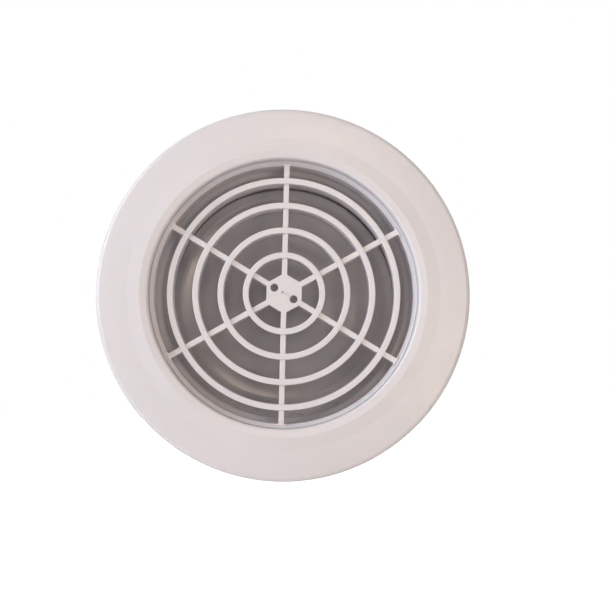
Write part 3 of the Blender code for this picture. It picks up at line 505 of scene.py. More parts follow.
def finish(obj, material, *nodes, body=CASE):
    """Gives a piece its material and body, and hides the CAD nodes that it stands for."""
    even = obj.modifiers.new("even_faces", "WEIGHTED_NORMAL")
    even.keep_sharp = True
    bpy.context.view_layer.update()
    apply_modifiers(obj)
    obj.data.materials.clear()
    obj.data.materials.append(material)
    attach(obj, body)
    if nodes:
        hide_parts(*nodes)


# --- Bezel, grille and gasket ---


def make_bezel():
    lip = [(50.5, -2.8), (50.5, -4.85, 1.4), (53.6, -5.41, 0.9), (58.5, -4.68, 10)]
    dome = [(63, -4.35, 8), (68.6, -3.65, 1.5), (69.6, -3.25, 0.4), (69.95, -2.5, 0.4), (69.95, -1.8, 0.3)]
    back = [(69.5, -1.6, 0.2), (63.5, -1.6, 0.2), (62, -2.2, 0.3), (54.4, -3.0, 0.6), (52.8, -1.8, 0.6)]
    collar = [(52.8, 17.7, 0.3), (52.5, 18, 0.1), (51.3, 18, 0.1), (51, 17.7, 0.3)]
    seat = [(51, 9.2, 0.1), (50.5, 9.2, 0.1)]
    outline = rounded(mm(lip + dome + back + collar + seat), steps=5)
    bezel = lathe("bezel_moulding", outline, 240)
    windows = []
    for angle in THIRDS:
        half = SNAP_W / 2 + GAP
        low, high = (50.7 * MM, SNAP_Y0 - GAP, -half), (54 * MM, SNAP_Y1 + GAP, half)
        windows.append(swing(block("window", low, high, 0.4), angle))
    cut(bezel, *windows)
    finish(bezel, WHITE, "bezel")


def make_gasket():
    gasket = tube("flange_gasket_foam", 63.8 * MM, 69.2 * MM, -1.3 * MM, 0, 0.3, 200)
    finish(gasket, FOAM, "flange_gasket")


def make_grille():
    """The rim reaches out to the throat, and its front face slopes in from its crest."""
    edge, back_edge, draft, to_throat, slope = metres(0.35, 0.3, 0.25, 0.23, 0.7)
    out, front = RIM_OUT + to_throat, RIM_FRONT + slope
    rim = [(RIM_IN, front, edge), (out, RIM_CREST, 0.12 * MM)]
    rim += [(out, RIM_BACK, edge), (RIM_IN, RIM_BACK, edge)]
    grille = lathe("grille_moulding", rounded(rim, steps=4), 240)
    others = []
    for i in range(RINGS):
        inner = RING_IN + i * RING_PITCH
        corners = [(inner, RING_FRONT, edge), (inner + RING_W, RING_FRONT, edge)]
        corners += [(inner + RING_W - draft, RING_BACK, back_edge), (inner + draft, RING_BACK, back_edge)]
        others.append(lathe(f"ring_{i}", rounded(corners, steps=4), 96 + 48 * i))
    hub_end, flare, fillet = metres(5, 0.9, 0.75)
    for i in range(SPOKES):
        half, foot = SPOKE_W / 2, SPOKE_W / 2 + flare
        end, base = RIM_IN - 0.1 * MM, (RIM_IN + RIM_OUT) / 2
        side = [(hub_end, -half), (end, -half, fillet), (end, -foot), (base, -foot)]
        outline = rounded(side + [(x, -z, *radius) for x, z, *radius in side[::-1]], steps=4)
        spoke = plate(f"spoke_{i}", [outline], "XZ", SPOKE_FRONT, SPOKE_BACK, 0.25)
        others.append(swing(spoke, pi / 2 + i * 2 * pi / SPOKES))
    sixths = [i * pi / 3 for i in range(6)]
    corners = [(HUB_CORNER_R * sin(a), HUB_CORNER_R * cos(a), 0.5 * MM) for a in sixths]
    hub = plate("hub", [rounded(corners[::-1])], "XZ", SPOKE_FRONT, HUB_BACK, 0.2)
    gate = rod("gate_mark", 0.55 * MM, SPOKE_FRONT - 0.5 * MM, 2 * MM, 0.3, 24, centre=metres(0.4, -0.05))
    join(grille, hub, gate, *others)
    holes = [drill("gate_pit", 0.48 * MM, -2 * MM, SPOKE_FRONT + 0.9 * MM, centre=metres(-0.6, 0.3), steps=24)]
    before, behind, sink, sink_edge = metres(-5, 10, 0.25, 0.5)
    for side in (-1, 1):
        centre = (side * HUB_HOLE_AT * cos(HUB_HOLE_ANGLE), side * HUB_HOLE_AT * sin(HUB_HOLE_ANGLE))
        outline = [(0, before), (HUB_HOLE_R + 4 * MM, before), (HUB_HOLE_R, SPOKE_FRONT + sink, sink_edge)]
        outline += [(HUB_HOLE_R, behind), (0, behind)]
        holes.append(lathe("hole", rounded(outline), 48, centre=centre))
    cut(grille, *holes)
    finish(grille, WHITE, "grille", body=GRILLE)


# --- Damper ---


def make_flap(name, side, knuckle_z, body):
    """A half-round flap with a low raised border on its front, and two knuckles on ribs behind."""
    start, steps = acos(FLAP_SEAM / FLAP_R), 96
    turns = [start - 2 * start * i / steps for i in range(steps + 1)]
    arc = [(side * FLAP_R * cos(a), FLAP_R * sin(a)) for a in turns]
    flap = plate(name + "_moulding", [arc], "XZ", FLAP_FRONT, FLAP_BACK, 0.35)
    raised = [(34.6, 24.32), (35.4, 24.25), (40.3, 22.85), (41.3, 22.7), (44.3, 22.7), (44.4, 23.6)]
    sunk = [(44.4, 24.8), (34.6, 24.8)]
    outline = [(*corner, 0.8 * MM) for corner in mm(raised)] + mm(sunk)
    border = lathe(name + "_border", rounded(outline, steps=4), 180)
    x0, x1 = span(side, FLAP_SEAM, -60 * MM)
    cut(border, block("beyond_seam", (x0, 20 * MM, -60 * MM), (x1, 30 * MM, 60 * MM), 0.05, 1))
    others = [border]
    x0, x1 = span(side, *metres(0.8, 5))
    for z in (-knuckle_z, knuckle_z):
        z0, z1 = z - KNUCKLE_L / 2, z + KNUCKLE_L / 2
        low, high = (x0, 25 * MM, z0 + 0.2 * MM), (x1, 28.6 * MM, z1 - 0.2 * MM)
        others.append(block("rib", low, high, 0.3))
        others.append(tube("knuckle", KNUCKLE_BORE, KNUCKLE_R, z0, z1, 0.2, 40, *ON_SPINDLE))
    join(flap, *others)
    cut(flap, drill("bore", KNUCKLE_BORE, -40 * MM, 40 * MM, *ON_SPINDLE, steps=40))
    # FLAP is taupe_abs drawn darker, as painted shade.
    finish(flap, FLAP, name, body=body)


def make_damper():
    outside = [(49.2, 9.4, 0.3), (50.4, 9.4, 0.3), (50.4, 10.4, 0.2), (48.3, 10.4, 0.1), (48.3, 30.4, 0.3)]
    seat = [(46.9, 30.4, 0.3), (46.9, 24, 0.2), (44.8, 24, 0.2)]
    funnel = [(44.8, 21.5, 1.2), (46.4, 14.5, 6), (47.4, 10.8, 2)]
    damper = lathe("damper_frame_moulding", rounded(mm(outside + seat + funnel), steps=5), 200)
    bosses = []
    for side in (-1, 1):
        ends = span(side, *metres(42, 47.6))
        bosses.append(rod("boss", 2.3 * MM, *ends, 0.3, 40, *ON_SPINDLE))
    join(damper, *bosses)
    reach = SPINDLE_HALF + GAP
    cut(damper, drill("spindle_hole", KNUCKLE_BORE, -reach, reach, *ON_SPINDLE, steps=40))
    finish(damper, TAUPE, "damper_frame")
    spindle = rod("flap_spindle_pin", 1.0 * MM, -SPINDLE_HALF, SPINDLE_HALF, 0.3, 32, *ON_SPINDLE)
    finish(spindle, STEEL, "flap_spindle")
    make_flap("flap_left", -1, 26 * MM, "left_flap")
    make_flap("flap_right", 1, 16 * MM, "right_flap")


def make_flap_spring():
    """The coil stays on the spindle, and each leg swings with the flap that it rests on."""
    turns, per_turn = 5, 36
    coil = []
    for i in range(turns * per_turn + 1):
        a = -pi / 2 - 2 * pi * i / per_turn
        z = -FLAP_SPRING_HALF + 2 * FLAP_SPRING_HALF * i / (turns * per_turn)
        coil.append((FLAP_SPRING_R * cos(a), SPINDLE_Y + FLAP_SPRING_R * sin(a), z))
    spring = wire("flap_spring_coil", coil, FLAP_SPRING_WIRE)
    finish(spring, SPRING, "flap_spring")
    front = SPINDLE_Y - FLAP_SPRING_R
    for name, side, body in (("left", -1, "left_flap"), ("right", 1, "right_flap")):
        z = -side * FLAP_SPRING_HALF
        route = [(0, front, z), (side * FLAP_SPRING_LEG, front, z)]
        leg = wire(f"flap_spring_leg_{name}", route, FLAP_SPRING_WIRE)
        finish(leg, SPRING, body=body)


# --- Housing and terminal box ---


def make_housing():
    stop_rib = [(49.25, 116, 0.3), (51.4, 116.6, 0.3), (51.4, 117.6, 0.3), (49.25, 118.2, 0.3)]
    sleeve = [(0, 10.7), (50.6, 10.7, 0.3), (50.6, 33, 1.5), (49.25, 36, 1.5)]
    spigot = [(49.25, 148, 1.5), (48.6, 150, 0.4), (0, 150)]
    outline = rounded(mm(sleeve + stop_rib + spigot))
    housing = lathe("housing_moulding", outline, 200)
    others = [block("box_walls", (-BOX_X, BOX_Y0, 44.5 * MM), (BOX_X, BOX_Y1, BOX_RIM), 1.2, 4)]
    for side in (-1, 1):
        x0, x1 = span(side, 47 * MM, PAD_X)
        others.append(block("pad", (x0, PAD_Y0, -11 * MM), (x1, PAD_Y1, 11 * MM), 0.5))
    for angle in THIRDS:
        low, high = (49.5 * MM, SNAP_Y0, -SNAP_W / 2), (51.9 * MM, SNAP_Y1, SNAP_W / 2)
        others.append(swing(block("snap", low, high, 0.6, 4), angle))
    arrow = mm([(52, -1.1), (62, -1.1), (62, -3.2), (67, 0), (62, 3.2), (62, 1.1), (52, 1.1)])
    others.append(plate("air_arrow", [arrow], "YZ", 48 * MM, 49.6 * MM, 0.1))
    join(housing, *others)
    inside = BOX_X - BOX_WALL
    room_low, room_high = (-inside, BOX_Y0 + BOX_WALL, BOX_FLOOR), (inside, BOX_Y1 - BOX_WALL, 64 * MM)
    cut(housing, block("box_room", room_low, room_high, 0.9, 4))
    posts, pilots = [], []
    for spots, radius, bore, top in ((LID_SCREWS, 2.3, 1.4, 59), (CLAMP_SCREWS, 2.0, 1.2, 56.1)):
        for spot in spots:
            posts.append(rod("screw_post", radius * MM, 49 * MM, top * MM, 0.2, 32, "Z", spot))
            pilots.append(drill("screw_pilot", bore * MM, 51 * MM, 62 * MM, "Z", spot))
    join(housing, *posts)
    bore = [(0, 5), (49.0, 5), (49.0, 10.6), (48.7, 11), (48.7, 31), (47, 31)]
    bore += [(47, 149.5), (47.4, 150.2), (47.4, 155), (0, 155)]
    cutters = [lathe("bore", mm(bore), 200), *pilots]
    cutters.append(drill("lead_hole", LEAD_HOLE_R, 44 * MM, 55 * MM, "Z", (LEAD_X, LEAD_Y), steps=48))
    cutters.append(drill("cable_hole", CABLE_HOLE_R, 108 * MM, 118 * MM, "Y", (CABLE_X, CABLE_Z), steps=48))
    for angle in THIRDS:
        hole = drill("support_hole", 1.5 * MM, 44 * MM, 53 * MM, "X", (SUPPORT_SCREW_Y, 0))
        cutters.append(swing(hole, angle))
    for side in (-1, 1):
        ends = span(side, *metres(46, 54))
        cutters.append(drill("clip_pilot", 1.5 * MM, *ends, "X", (BRACKET_SCREW_Y, 0)))
    cut(housing, *cutters)
    finish(housing, SHELL, "housing")


def make_screw(node, sizes, axis, centre, angle=0.0, drive="cross"):
    """A domed screw. Its sizes are its shank's and head's radius, both ends of its head, and its tip."""
    shank_r, head_r, top, under, tip = metres(*sizes)
    way = 1 if tip > under else -1
    height, pitch, depth = abs(under - top), 0.75 * MM, 0.22 * MM
    dome = ((0, 0), (0.5, 0.06), (0.88, 0.36), (1, 0.75))
    outline = [(head_r * out, top + way * height * deep) for out, deep in dome]
    outline += [(head_r, under), (shank_r, under)]
    turns = int(abs(tip - under) / pitch)
    for i in range(1, turns):
        start = under + way * pitch * i
        outline += [(shank_r - depth, start), (shank_r, start + way * pitch * 0.5)]
    outline += [(shank_r * 0.75, tip), (0, tip)]
    screw = lathe(f"{node}_threaded", outline, 28, sharp=SHARP_SMALL)
    length, width, deep = head_r * 1.15, head_r * 0.24, height * 0.55
    y0, y1 = sorted((top - way * height, top + way * deep))
    if drive == "cross":
        arms = [block("arm_0", (-length / 2, y0, -width / 2), (length / 2, y1, width / 2), 0.03, 1)]
        arms.append(block("arm_1", (-width / 2, y0, -length / 2), (width / 2, y1, length / 2), 0.03, 1))
    else:
        arms = [block("arm_0", (-head_r * 1.1, y0, -width / 2), (head_r * 1.1, y1, width / 2), 0.03, 1)]
    cut(screw, *arms)
    screw.data.transform(Matrix.Rotation(-angle, 4, "Y") @ at(axis, centre))
    finish(screw, BRASS if node.startswith("terminal") else STEEL, node)


def make_screws():
    for i, spot in enumerate(LID_SCREWS):
        make_screw(f"lid_screw_{i + 1}", (1.0, 2.7, 62.0, 60.7, 52.5), "Z", spot)
    for i, spot in enumerate(CLAMP_SCREWS):
        make_screw(f"clamp_screw_{i + 1}", (0.9, 2.0, 59.0, 57.7, 52), "Z", spot)
    for i, angle in enumerate(THIRDS):
        make_screw(f"support_screw_{i + 1}", (1.0, 2.4, 51, 49.7, 41), "X", (SUPPORT_SCREW_Y, 0), angle)
    for i, x in enumerate(MOTOR_SCREWS):
        make_screw(f"motor_screw_{i + 1}", (1.7, 3.6, 127.1, 125.1, 94.2), "Y", (x, 0), drive="slot")
    for name, side in SIDES:
        sizes = (1.1, 2.4, side * 55, side * 53.6, side * 49.2)
        make_screw(f"bracket_screw_{name}", sizes, "X", (BRACKET_SCREW_Y, 0))
    for pole, y in enumerate(POLES):
        for end, x in enumerate(POLE_SCREWS):
            sizes = (1.2, 1.5, 57.4, 56.3, 55.2)
            make_screw(f"terminal_screw_{2 * pole + end + 1}", sizes, "Z", (x, y), drive="slot")


def make_terminal_block():
    low, high = metres(-6.5, 81.5, 50.2), metres(6.5, 98.5, 57.9)
    terminals = block("terminal_block_moulding", low, high, 0.4)
    cutters = [block("pole_gap", metres(-7, 89.4, 56.2), metres(7, 90.6, 59), 0.2)]
    for y in POLES:
        cutters.append(drill("wire_hole", 1.7 * MM, -8 * MM, 8 * MM, "X", (y, WIRE_Z)))
        for x in POLE_SCREWS:
            cutters.append(drill("screw_hole", 1.9 * MM, WIRE_Z, 60 * MM, "Z", (x, y)))
    cut(terminals, *cutters)
    finish(terminals, NYLON, "terminal_block")


def make_cable_clamp():
    xs = [x for x, _ in CLAMP_SCREWS]
    outline = rectangle(min(xs) - 2 * MM, max(xs) + 2 * MM, 101.8 * MM, 106.2 * MM, 1.4 * MM)
    holes = [circle(x, y, 1.5 * MM, 32) for x, y in CLAMP_SCREWS]
    clamp = plate("cable_clamp_moulding", [outline, *holes], "XY", 56.4 * MM, 57.4 * MM, 0.2)
    finish(clamp, NYLON, "cable_clamp")


def make_grommets():
    wall_in, wall_out = 111.7, 114.3
    outline = [(3.2, wall_in - 1, 0.3), (4.4, wall_in - 1, 0.4), (4.4, wall_in, 0.1), (3.7, wall_in, 0.1)]
    outline += [(3.7, wall_out, 0.1), (4.4, wall_out, 0.1), (4.4, wall_out + 1, 0.5)]
    outline.append((3.2, wall_out + 1.6, 0.3))
    cable_grommet = lathe("cable_grommet_rubber", rounded(mm(outline)), 64, "Y", (CABLE_X, CABLE_Z))
    finish(cable_grommet, RUBBER, "cable_grommet")
    top = 50.2
    outline = [(2.5, 46.2, 0.2), (3.0, 46.2, 0.2), (3.0, top, 0.05), (4.0, top, 0.2), (4.0, top + 0.9, 0.35)]
    outline.append((2.5, top + 0.9, 0.2))
    lead_grommet = lathe("lead_grommet_rubber", rounded(mm(outline)), 64, "Z", (LEAD_X, LEAD_Y))
    finish(lead_grommet, RUBBER, "lead_grommet")


def make_terminal_lid():
    outline = rectangle(-BOX_X, BOX_X, BOX_Y0, BOX_Y1, 2 * MM)
    lid = plate("terminal_lid_moulding", [outline], "XY", BOX_RIM + GAP, LID_TOP, 0.5)
    cutters = [block("lid_panel", metres(-12, 84, 61.2), metres(12, 110, 63), 0.25)]
    sink = [(0, 55), (1.8, 55), (1.8, 60.4), (3.1, 60.4), (3.1, 61.3), (3.5, 61.7), (3.5, 65), (0, 65)]
    for spot in LID_SCREWS:
        cutters.append(lathe("lid_hole", mm(sink), 48, "Z", spot))
    cut(lid, *cutters)
    finish(lid, SHELL, "terminal_lid")


# --- Impeller and rotor ---


def blade(name, angle):
    """A cambered, twisted blade lofted through rounded sections from root to tip."""
    root_r, camber = 17.9 * MM, 2.2 * MM
    root_chord, tip_chord = 17 * MM, 31 * MM
    root_pitch, tip_pitch = radians(42), radians(24)
    around, out_steps = 48, 16
    shape = bmesh.new()
    sections = []
    for j in range(out_steps + 2):
        out = min(1.0, j / out_steps)
        radius = root_r + (BLADE_TIP_R - root_r) * out
        half_thickness = (0.72 if j <= out_steps else 0.3) * MM
        radius -= 0.3 * MM if j == out_steps else 0
        pitch = root_pitch + (tip_pitch - root_pitch) * out
        chord = root_chord + (tip_chord - root_chord) * out
        section = []
        for i in range(around):
            a = 2 * pi * i / around
            along, side = 0.5 * cos(a), sin(a)
            bow = camber * (1 - 4 * along**2) + half_thickness * abs(side) ** 0.6 * (1 if side > 0 else -1)
            turn = angle + (along * chord * cos(pitch) - bow * sin(pitch)) / radius
            depth = along * chord * sin(pitch) + bow * cos(pitch)
            place = (radius * cos(turn), BLADE_MID - camber / 2 + depth, radius * sin(turn))
            section.append(shape.verts.new(place))
        sections.append(section)
    for near, far in zip(sections, sections[1:]):
        for i in range(around):
            k = (i + 1) % around
            shape.faces.new((near[i], near[k], far[k], far[i]))
    for section in (sections[0], sections[-1]):
        middle = around // 2
        shape.faces.new((section[0], section[1], section[-1]))
        for i in range(1, middle - 1):
            shape.faces.new((section[i], section[i + 1], section[around - i - 1], section[around - i]))
        shape.faces.new((section[middle - 1], section[middle], section[middle + 1]))
    return to_object(name, shape, SHARP_SMALL)


def make_impeller():
    nose = [(2.8, 78, 0.2), (8, 78, 0.4), (9, 75.6, 0.8), (14, 75, 1.5), (17.6, 76.6, 1.8), (19, 80, 1.5)]
    skirt = [(19, 93, 0.3), (17.2, 93, 0.3), (17.2, 81.8, 1), (15.8, 80.2, 0.6)]
    boss = [(5.6, 80.2, 0.6), (5.6, 92, 0.3), (2.8, 92, 0.2)]
    impeller = lathe("impeller_moulding", rounded(mm(nose + skirt + boss)), 144)
    join(impeller, *[blade(f"blade_{i}", 2 * pi * i / BLADES) for i in range(BLADES)])
    finish(impeller, DARK, "impeller", body=ROTOR)
    outlines = [circle(0, 0, 5.8 * MM, 72), toothed(SHAFT_HOLE, 3.9 * MM)]
    clip = plate("impeller_clip_pressing", outlines, "XZ", 76.7 * MM, 77.5 * MM, 0.1)
    finish(clip, SPRING, "impeller_clip", body=ROTOR)


def make_shaft():
    clip_groove = [(2.5, 76.4), (2.3, 76.5), (2.3, 77.6), (2.5, 77.7)]
    outline = [(0, 75.6), (2.5, 75.6, 0.5), *clip_groove, (2.5, 134, 0.5), (0, 134)]
    shaft = lathe("motor_shaft_turning", rounded(mm(outline)), 48)
    finish(shaft, STEEL, "motor_shaft", body=ROTOR)


def make_rotor():
    """The stack of sheets, and the cast cage whose bars run through it."""
    spots = []
    for i in range(CAGE_BARS):
        angle = 2 * pi * (i + 0.4) / CAGE_BARS
        spots.append((CAGE_BAR_AT * cos(angle), CAGE_BAR_AT * sin(angle)))
    slots = [circle(x, z, CAGE_BAR_R + GAP, 24) for x, z in spots]
    outlines = [circle(0, 0, ROTOR_R, 96), circle(0, 0, SHAFT_HOLE, 40), *slots]
    rotor = plate("rotor_laminations", outlines, "XZ", STACK_FRONT, STACK_BACK, 0.1)
    finish(rotor, SHEET, "rotor_core", body=ROTOR)
    front = (STACK_FRONT - GAP - CAGE_DEPTH, STACK_FRONT - GAP)
    rear = (STACK_BACK + GAP, STACK_BACK + GAP + CAGE_DEPTH)
    cage = tube("rotor_cage_casting", CAGE_IN, CAGE_OUT, *front, 0.4)
    others = [tube("cage_rear", CAGE_IN, CAGE_OUT, *rear, 0.4)]
    for spot in spots:
        ends = (STACK_FRONT - CAGE_DEPTH / 2, STACK_BACK + CAGE_DEPTH / 2)
        others.append(rod("cage_bar", CAGE_BAR_R, *ends, 0.1, 20, centre=spot))
    join(cage, *others)
    finish(cage, ALUMINIUM, "rotor_cage", body=ROTOR)


# --- Motor ---


def make_stator():
    side, leg, top, bottom, bar_low, bar_high = 24, 17, 19.2, -20, 27.5, 35.5
    right = [(leg, top, 1.2), (leg, bar_high), (side - 1, bar_high, 0.4), (side, bar_high - 1, 0.4)]
    right += [(side, bottom + 3, 1), (side - 3, bottom, 1)]
    outline = rounded(mm(right + [(-corner[0], *corner[1:]) for corner in reversed(right)]))
    shading = [(radians(35), radians(60)), (radians(215), radians(240))]
    shading_r = 15.6 * MM
    spots = [[(shading_r * cos(a), shading_r * sin(a)) for a in pair] for pair in shading]
    holes = [circle(0, 0, STATOR_BORE, 96)]
    holes += [circle(x, 0, 2.3 * MM, 32) for x in MOTOR_SCREWS]
    holes += [circle(x, z, 1.2 * MM, 24) for pair in spots for x, z in pair]
    stator = plate("stator_laminations", [outline, *holes], "XZ", STACK_FRONT, STACK_BACK, 0.1)
    rivets = []
    ends = (STACK_FRONT - 0.5 * MM, STACK_BACK + 0.5 * MM)
    for spot in mm([(-21.5, -16.5), (21.5, -16.5), (-20.5, 31.5), (20.5, 31.5)]):
        rivets.append(rod("rivet", 1.1 * MM, *ends, 0.4, 28, centre=spot))
    merge(stator, *rivets)
    finish(stator, SHEET, "stator_core")
    end = leg * MM - GAP
    low, high = (-end, STACK_FRONT, bar_low * MM), (end, STACK_BACK, bar_high * MM)
    bar = block("coil_core_laminations", low, high, 0.1, 1)
    finish(bar, SHEET, "coil_core_bar")
    front, back = STACK_FRONT - 1.5 * MM, STACK_BACK + 1.5 * MM
    for i, ((x0, z0), (x1, z1)) in enumerate(spots):
        along, across = Vector((0, 1, 0)), Vector((x1 - x0, 0, z1 - z0))
        length = across.length
        across.normalize()
        loop = rectangle(0, length, front, back, 1.2 * MM, 3)
        route = [tuple(Vector((x0, 0, z0)) + across * a + along * b) for a, b in loop]
        ring = wire(f"shading_ring_{i + 1}_bent", route, 0.75 * MM, closed=True)
        finish(ring, COPPER, f"shading_ring_{i + 1}")


def make_coil():
    """The bobbin, and on it the winding: a solid body with a fine wire wound round it."""
    front, back, low, high, wall = 107.6, 124.4, 26.1, 36.9, 1.1
    core = [rectangle(*metres(front, back, low, high, 1.0))]
    room = [rectangle(*metres(front + wall, back - wall, low + wall, high - wall, 0.3))]
    flange = [rectangle(*metres(102.5, 129.5, 20.5, 42.5, 2))]
    bobbin = plate("coil_bobbin_moulding", core + room, "YZ", -15.5 * MM, 15.5 * MM, 0.1)
    ends = []
    for side in (-1, 1):
        ends.append(plate("bobbin_flange", flange + room, "YZ", *span(side, *metres(15, 16)), 0.2))
    join(bobbin, *ends)
    finish(bobbin, NYLON, "coil_bobbin")

    thread, half = 0.28, 14.6
    hole = rectangle(*metres(front - 0.3, back + 0.3, low - 0.3, high + 0.3, 1.0))
    y0, y1, z0, z1, corner = 103.5, 128.5, 21.6, 41.4, 4.0
    middle = metres(y0 + thread, y1 - thread, z0 + thread, z1 - thread, corner - thread)
    end = half * MM - 0.05 * MM
    winding = plate("coil_winding_wire", [rectangle(*middle), hole], "YZ", -end, end, 0.1)
    loop = rectangle(*middle, 5)
    turns = int((half - thread) / thread)
    steps = len(loop)
    route = []
    for i in range(turns * steps):
        y, z = loop[i % steps]
        x = (-half + thread) * MM + 2 * (half - thread) * MM * i / (turns * steps - 1)
        route.append((x, y, z))
    merge(winding, wire("winding_thread", route, thread * MM, sides_over_four=1))
    finish(winding, COPPER, "coil_winding")


def make_bearings():
    for name, sign in (("front", -1), ("rear", 1)):
        face = STACK_MID + sign * (STACK_BACK - STACK_MID)

        def off(*distances, face=face, sign=sign):
            return sorted(face + sign * distance * MM for distance in distances)

        half = [(24.5, 0.3, 0.3), (24.5, 1.8, 0.3), (14.9, 1.8, 0.8), (13.6, 6.6, 0.8)]
        under = [(12.4, 5.1, 0.6), (13.7, 0.3, 0.3)]
        right = [(x * MM, off(d)[0], r * MM) for x, d, r in half]
        inner = [(x * MM, off(d)[0], r * MM) for x, d, r in under]
        mirrored = [(-x, y, r) for x, y, r in reversed(right)]
        outline = right + mirrored + [(-x, y, r) for x, y, r in reversed(inner)] + inner
        strap = plate(f"{name}_bearing_casting", [rounded(outline)], "XY", -6.5 * MM, 6.5 * MM, 0.25)
        join(strap, rod("cup", 8.2 * MM, *off(3.8, 9.3), 0.7, 72))
        cutters = [rod("cup_room", 6.6 * MM, *off(2, 8.3), 0.2, 72)]
        cutters.append(drill("cup_hole", 3.6 * MM, *off(-1, 12), steps=48))
        for x in MOTOR_SCREWS:
            cutters.append(drill("foot", 2.2 * MM, *off(-1, 12), centre=(x, 0)))
        cut(strap, *cutters)
        finish(strap, ZINC, f"{name}_bearing_bracket")
        ball = [(2.8, 4.3, 0.1), (3.8, 4.3, 0.3), (4.8, 5.2, 0.6), (4.8, 7.1, 0.6), (3.8, 8.0, 0.3)]
        ball.append((2.8, 8.0, 0.1))
        outline = rounded([(r * MM, off(d)[0], corner * MM) for r, d, corner in ball])
        bearing = lathe(f"{name}_bearing_bush", outline, 64)
        finish(bearing, BRONZE, f"{name}_bearing")
        outlines = [circle(0, 0, 6.3 * MM, 72), toothed(*metres(3.4, 4.6))]
        retainer = plate(f"{name}_retainer_pressing", outlines, "XZ", *off(3.5, 4.0), 0.08)
        finish(retainer, SPRING, f"{name}_bearing_retainer")


def make_motor_support():
    support = tube("motor_support_moulding", BAND_IN, BAND_OUT, BAND_FRONT, BAND_BACK, 0.4, 200)
    others = [tube("support_plate", 10.5 * MM, 26 * MM, SUPPORT_FRONT, SUPPORT_BACK, 0.4, 120)]
    pilots = []
    for angle in THIRDS:
        low = (24.5 * MM, SUPPORT_FRONT + 0.2 * MM, -3 * MM)
        high = (45.5 * MM, SUPPORT_BACK + 0.6 * MM, 3 * MM)
        others.append(swing(block("arm", low, high, 0.6), angle))
        arm_end = block("arm_end", metres(38, 95, -3.6), metres(45.3, 100.3, 3.6), 0.7)
        others.append(swing(arm_end, angle))
        pilot = drill("pilot", 1.4 * MM, 39 * MM, 50 * MM, "X", (SUPPORT_SCREW_Y, 0))
        pilots.append(swing(pilot, angle))
    for x in MOTOR_SCREWS:
        others.append(rod("post", 4.2 * MM, SUPPORT_FRONT + 0.1 * MM, POST_BACK, 0.4, 48, centre=(x, 0)))
        pilots.append(drill("post_hole", 2.1 * MM, 90 * MM, 108 * MM, centre=(x, 0), steps=40))
    join(support, *others)
    cut(support, *pilots)
    finish(support, SHELL, "motor_support")
    for i, x in enumerate(MOTOR_SCREWS):
        ends = (POST_BACK + GAP, STACK_FRONT - 2.1 * MM)
        rubber = tube(f"vibration_washer_{i + 1}_rubber", 2.1 * MM, 4.2 * MM, *ends, 0.4, 56, centre=(x, 0))
        finish(rubber, RUBBER, f"vibration_washer_{i + 1}")
        outlines = [circle(x, 0, 3.6 * MM, 6), circle(x, 0, 2.0 * MM, 40)]
        ends = (SUPPORT_FRONT - 2.3 * MM, SUPPORT_FRONT - GAP)
        nut = plate(f"motor_nut_{i + 1}_hexagon", outlines, "XZ", *ends, 0.2)
        finish(nut, STEEL, f"motor_nut_{i + 1}")


def make_leads():
    """Two insulated leads, over the coil's front edge, up through the grommet and into the terminal block."""
    z = WIRE_Z / MM
    blue = [(3.0, 101.3, 35), (3.2, 100.9, 41), (4.6, 101.6, 43.3), (6.9, 104.6, 44.2), (7.8, 106.9, 46.4)]
    blue += [(7.8, 107, 51), (8.2, 104.6, 53.8), (9.6, 101, 54), (10.9, 97.6, z), (10.4, 95, z)]
    blue += [(8.4, 94, z), (4.6, 94, z)]
    brown = [(6.6, 101.3, 35), (6.8, 100.9, 41), (8.4, 102.2, 43.1), (10, 105.2, 44.2), (10.3, 106.9, 46.6)]
    brown += [(10.3, 107, 51.4), (12, 105, 53.6), (13.5, 101, z), (13.5, 91, z), (12.6, 87.6, z)]
    brown += [(10.2, 86, z), (4.6, 86, z)]
    for number, colour, places, material in ((1, "blue", blue, BLUE), (2, "brown", brown, BROWN)):
        corners = [Vector(place) * MM for place in places]
        lead = wire(f"motor_lead_{colour}", smooth_route(corners, 0.6 * MM), LEAD_R)
        finish(lead, material, f"motor_lead_{number}")


# --- Spring clips ---


def clip_route(side):
    """One clip's wire: a cross bar, a coil and a leg out to a round end, and the same again mirrored in z."""
    leg = Vector((cos(CLIP_REST), sin(CLIP_REST)))
    start = CLIP_REST - pi / 2
    turns = (start % (2 * pi)) + 2 * pi
    coil_steps, end_steps = 72, 12
    half = [((CLIP_COIL_R, 0), 0.5 * MM)]
    for i in range(coil_steps + 1):
        part = i / coil_steps
        a = start - turns * (1 - part)
        z = CLIP_INNER_Z + (CLIP_LEG_Z - CLIP_INNER_Z) * part
        half.append(((CLIP_COIL_R * cos(a), CLIP_COIL_R * sin(a)), z))
    base = Vector((cos(start), sin(start))) * CLIP_COIL_R
    bend = CLIP_REACH - CLIP_LEG_Z
    for i in range(end_steps + 1):
        a = pi / 2 * i / end_steps
        half.append((base + leg * (bend + CLIP_LEG_Z * sin(a)), CLIP_LEG_Z * cos(a)))

    def spot(flat_place, z):
        return (side * (PIVOT_X + flat_place[0]), PIVOT_Y + flat_place[1], z)

    return [spot(p, z) for p, z in half] + [spot(p, -z) for p, z in reversed(half[:-1])]


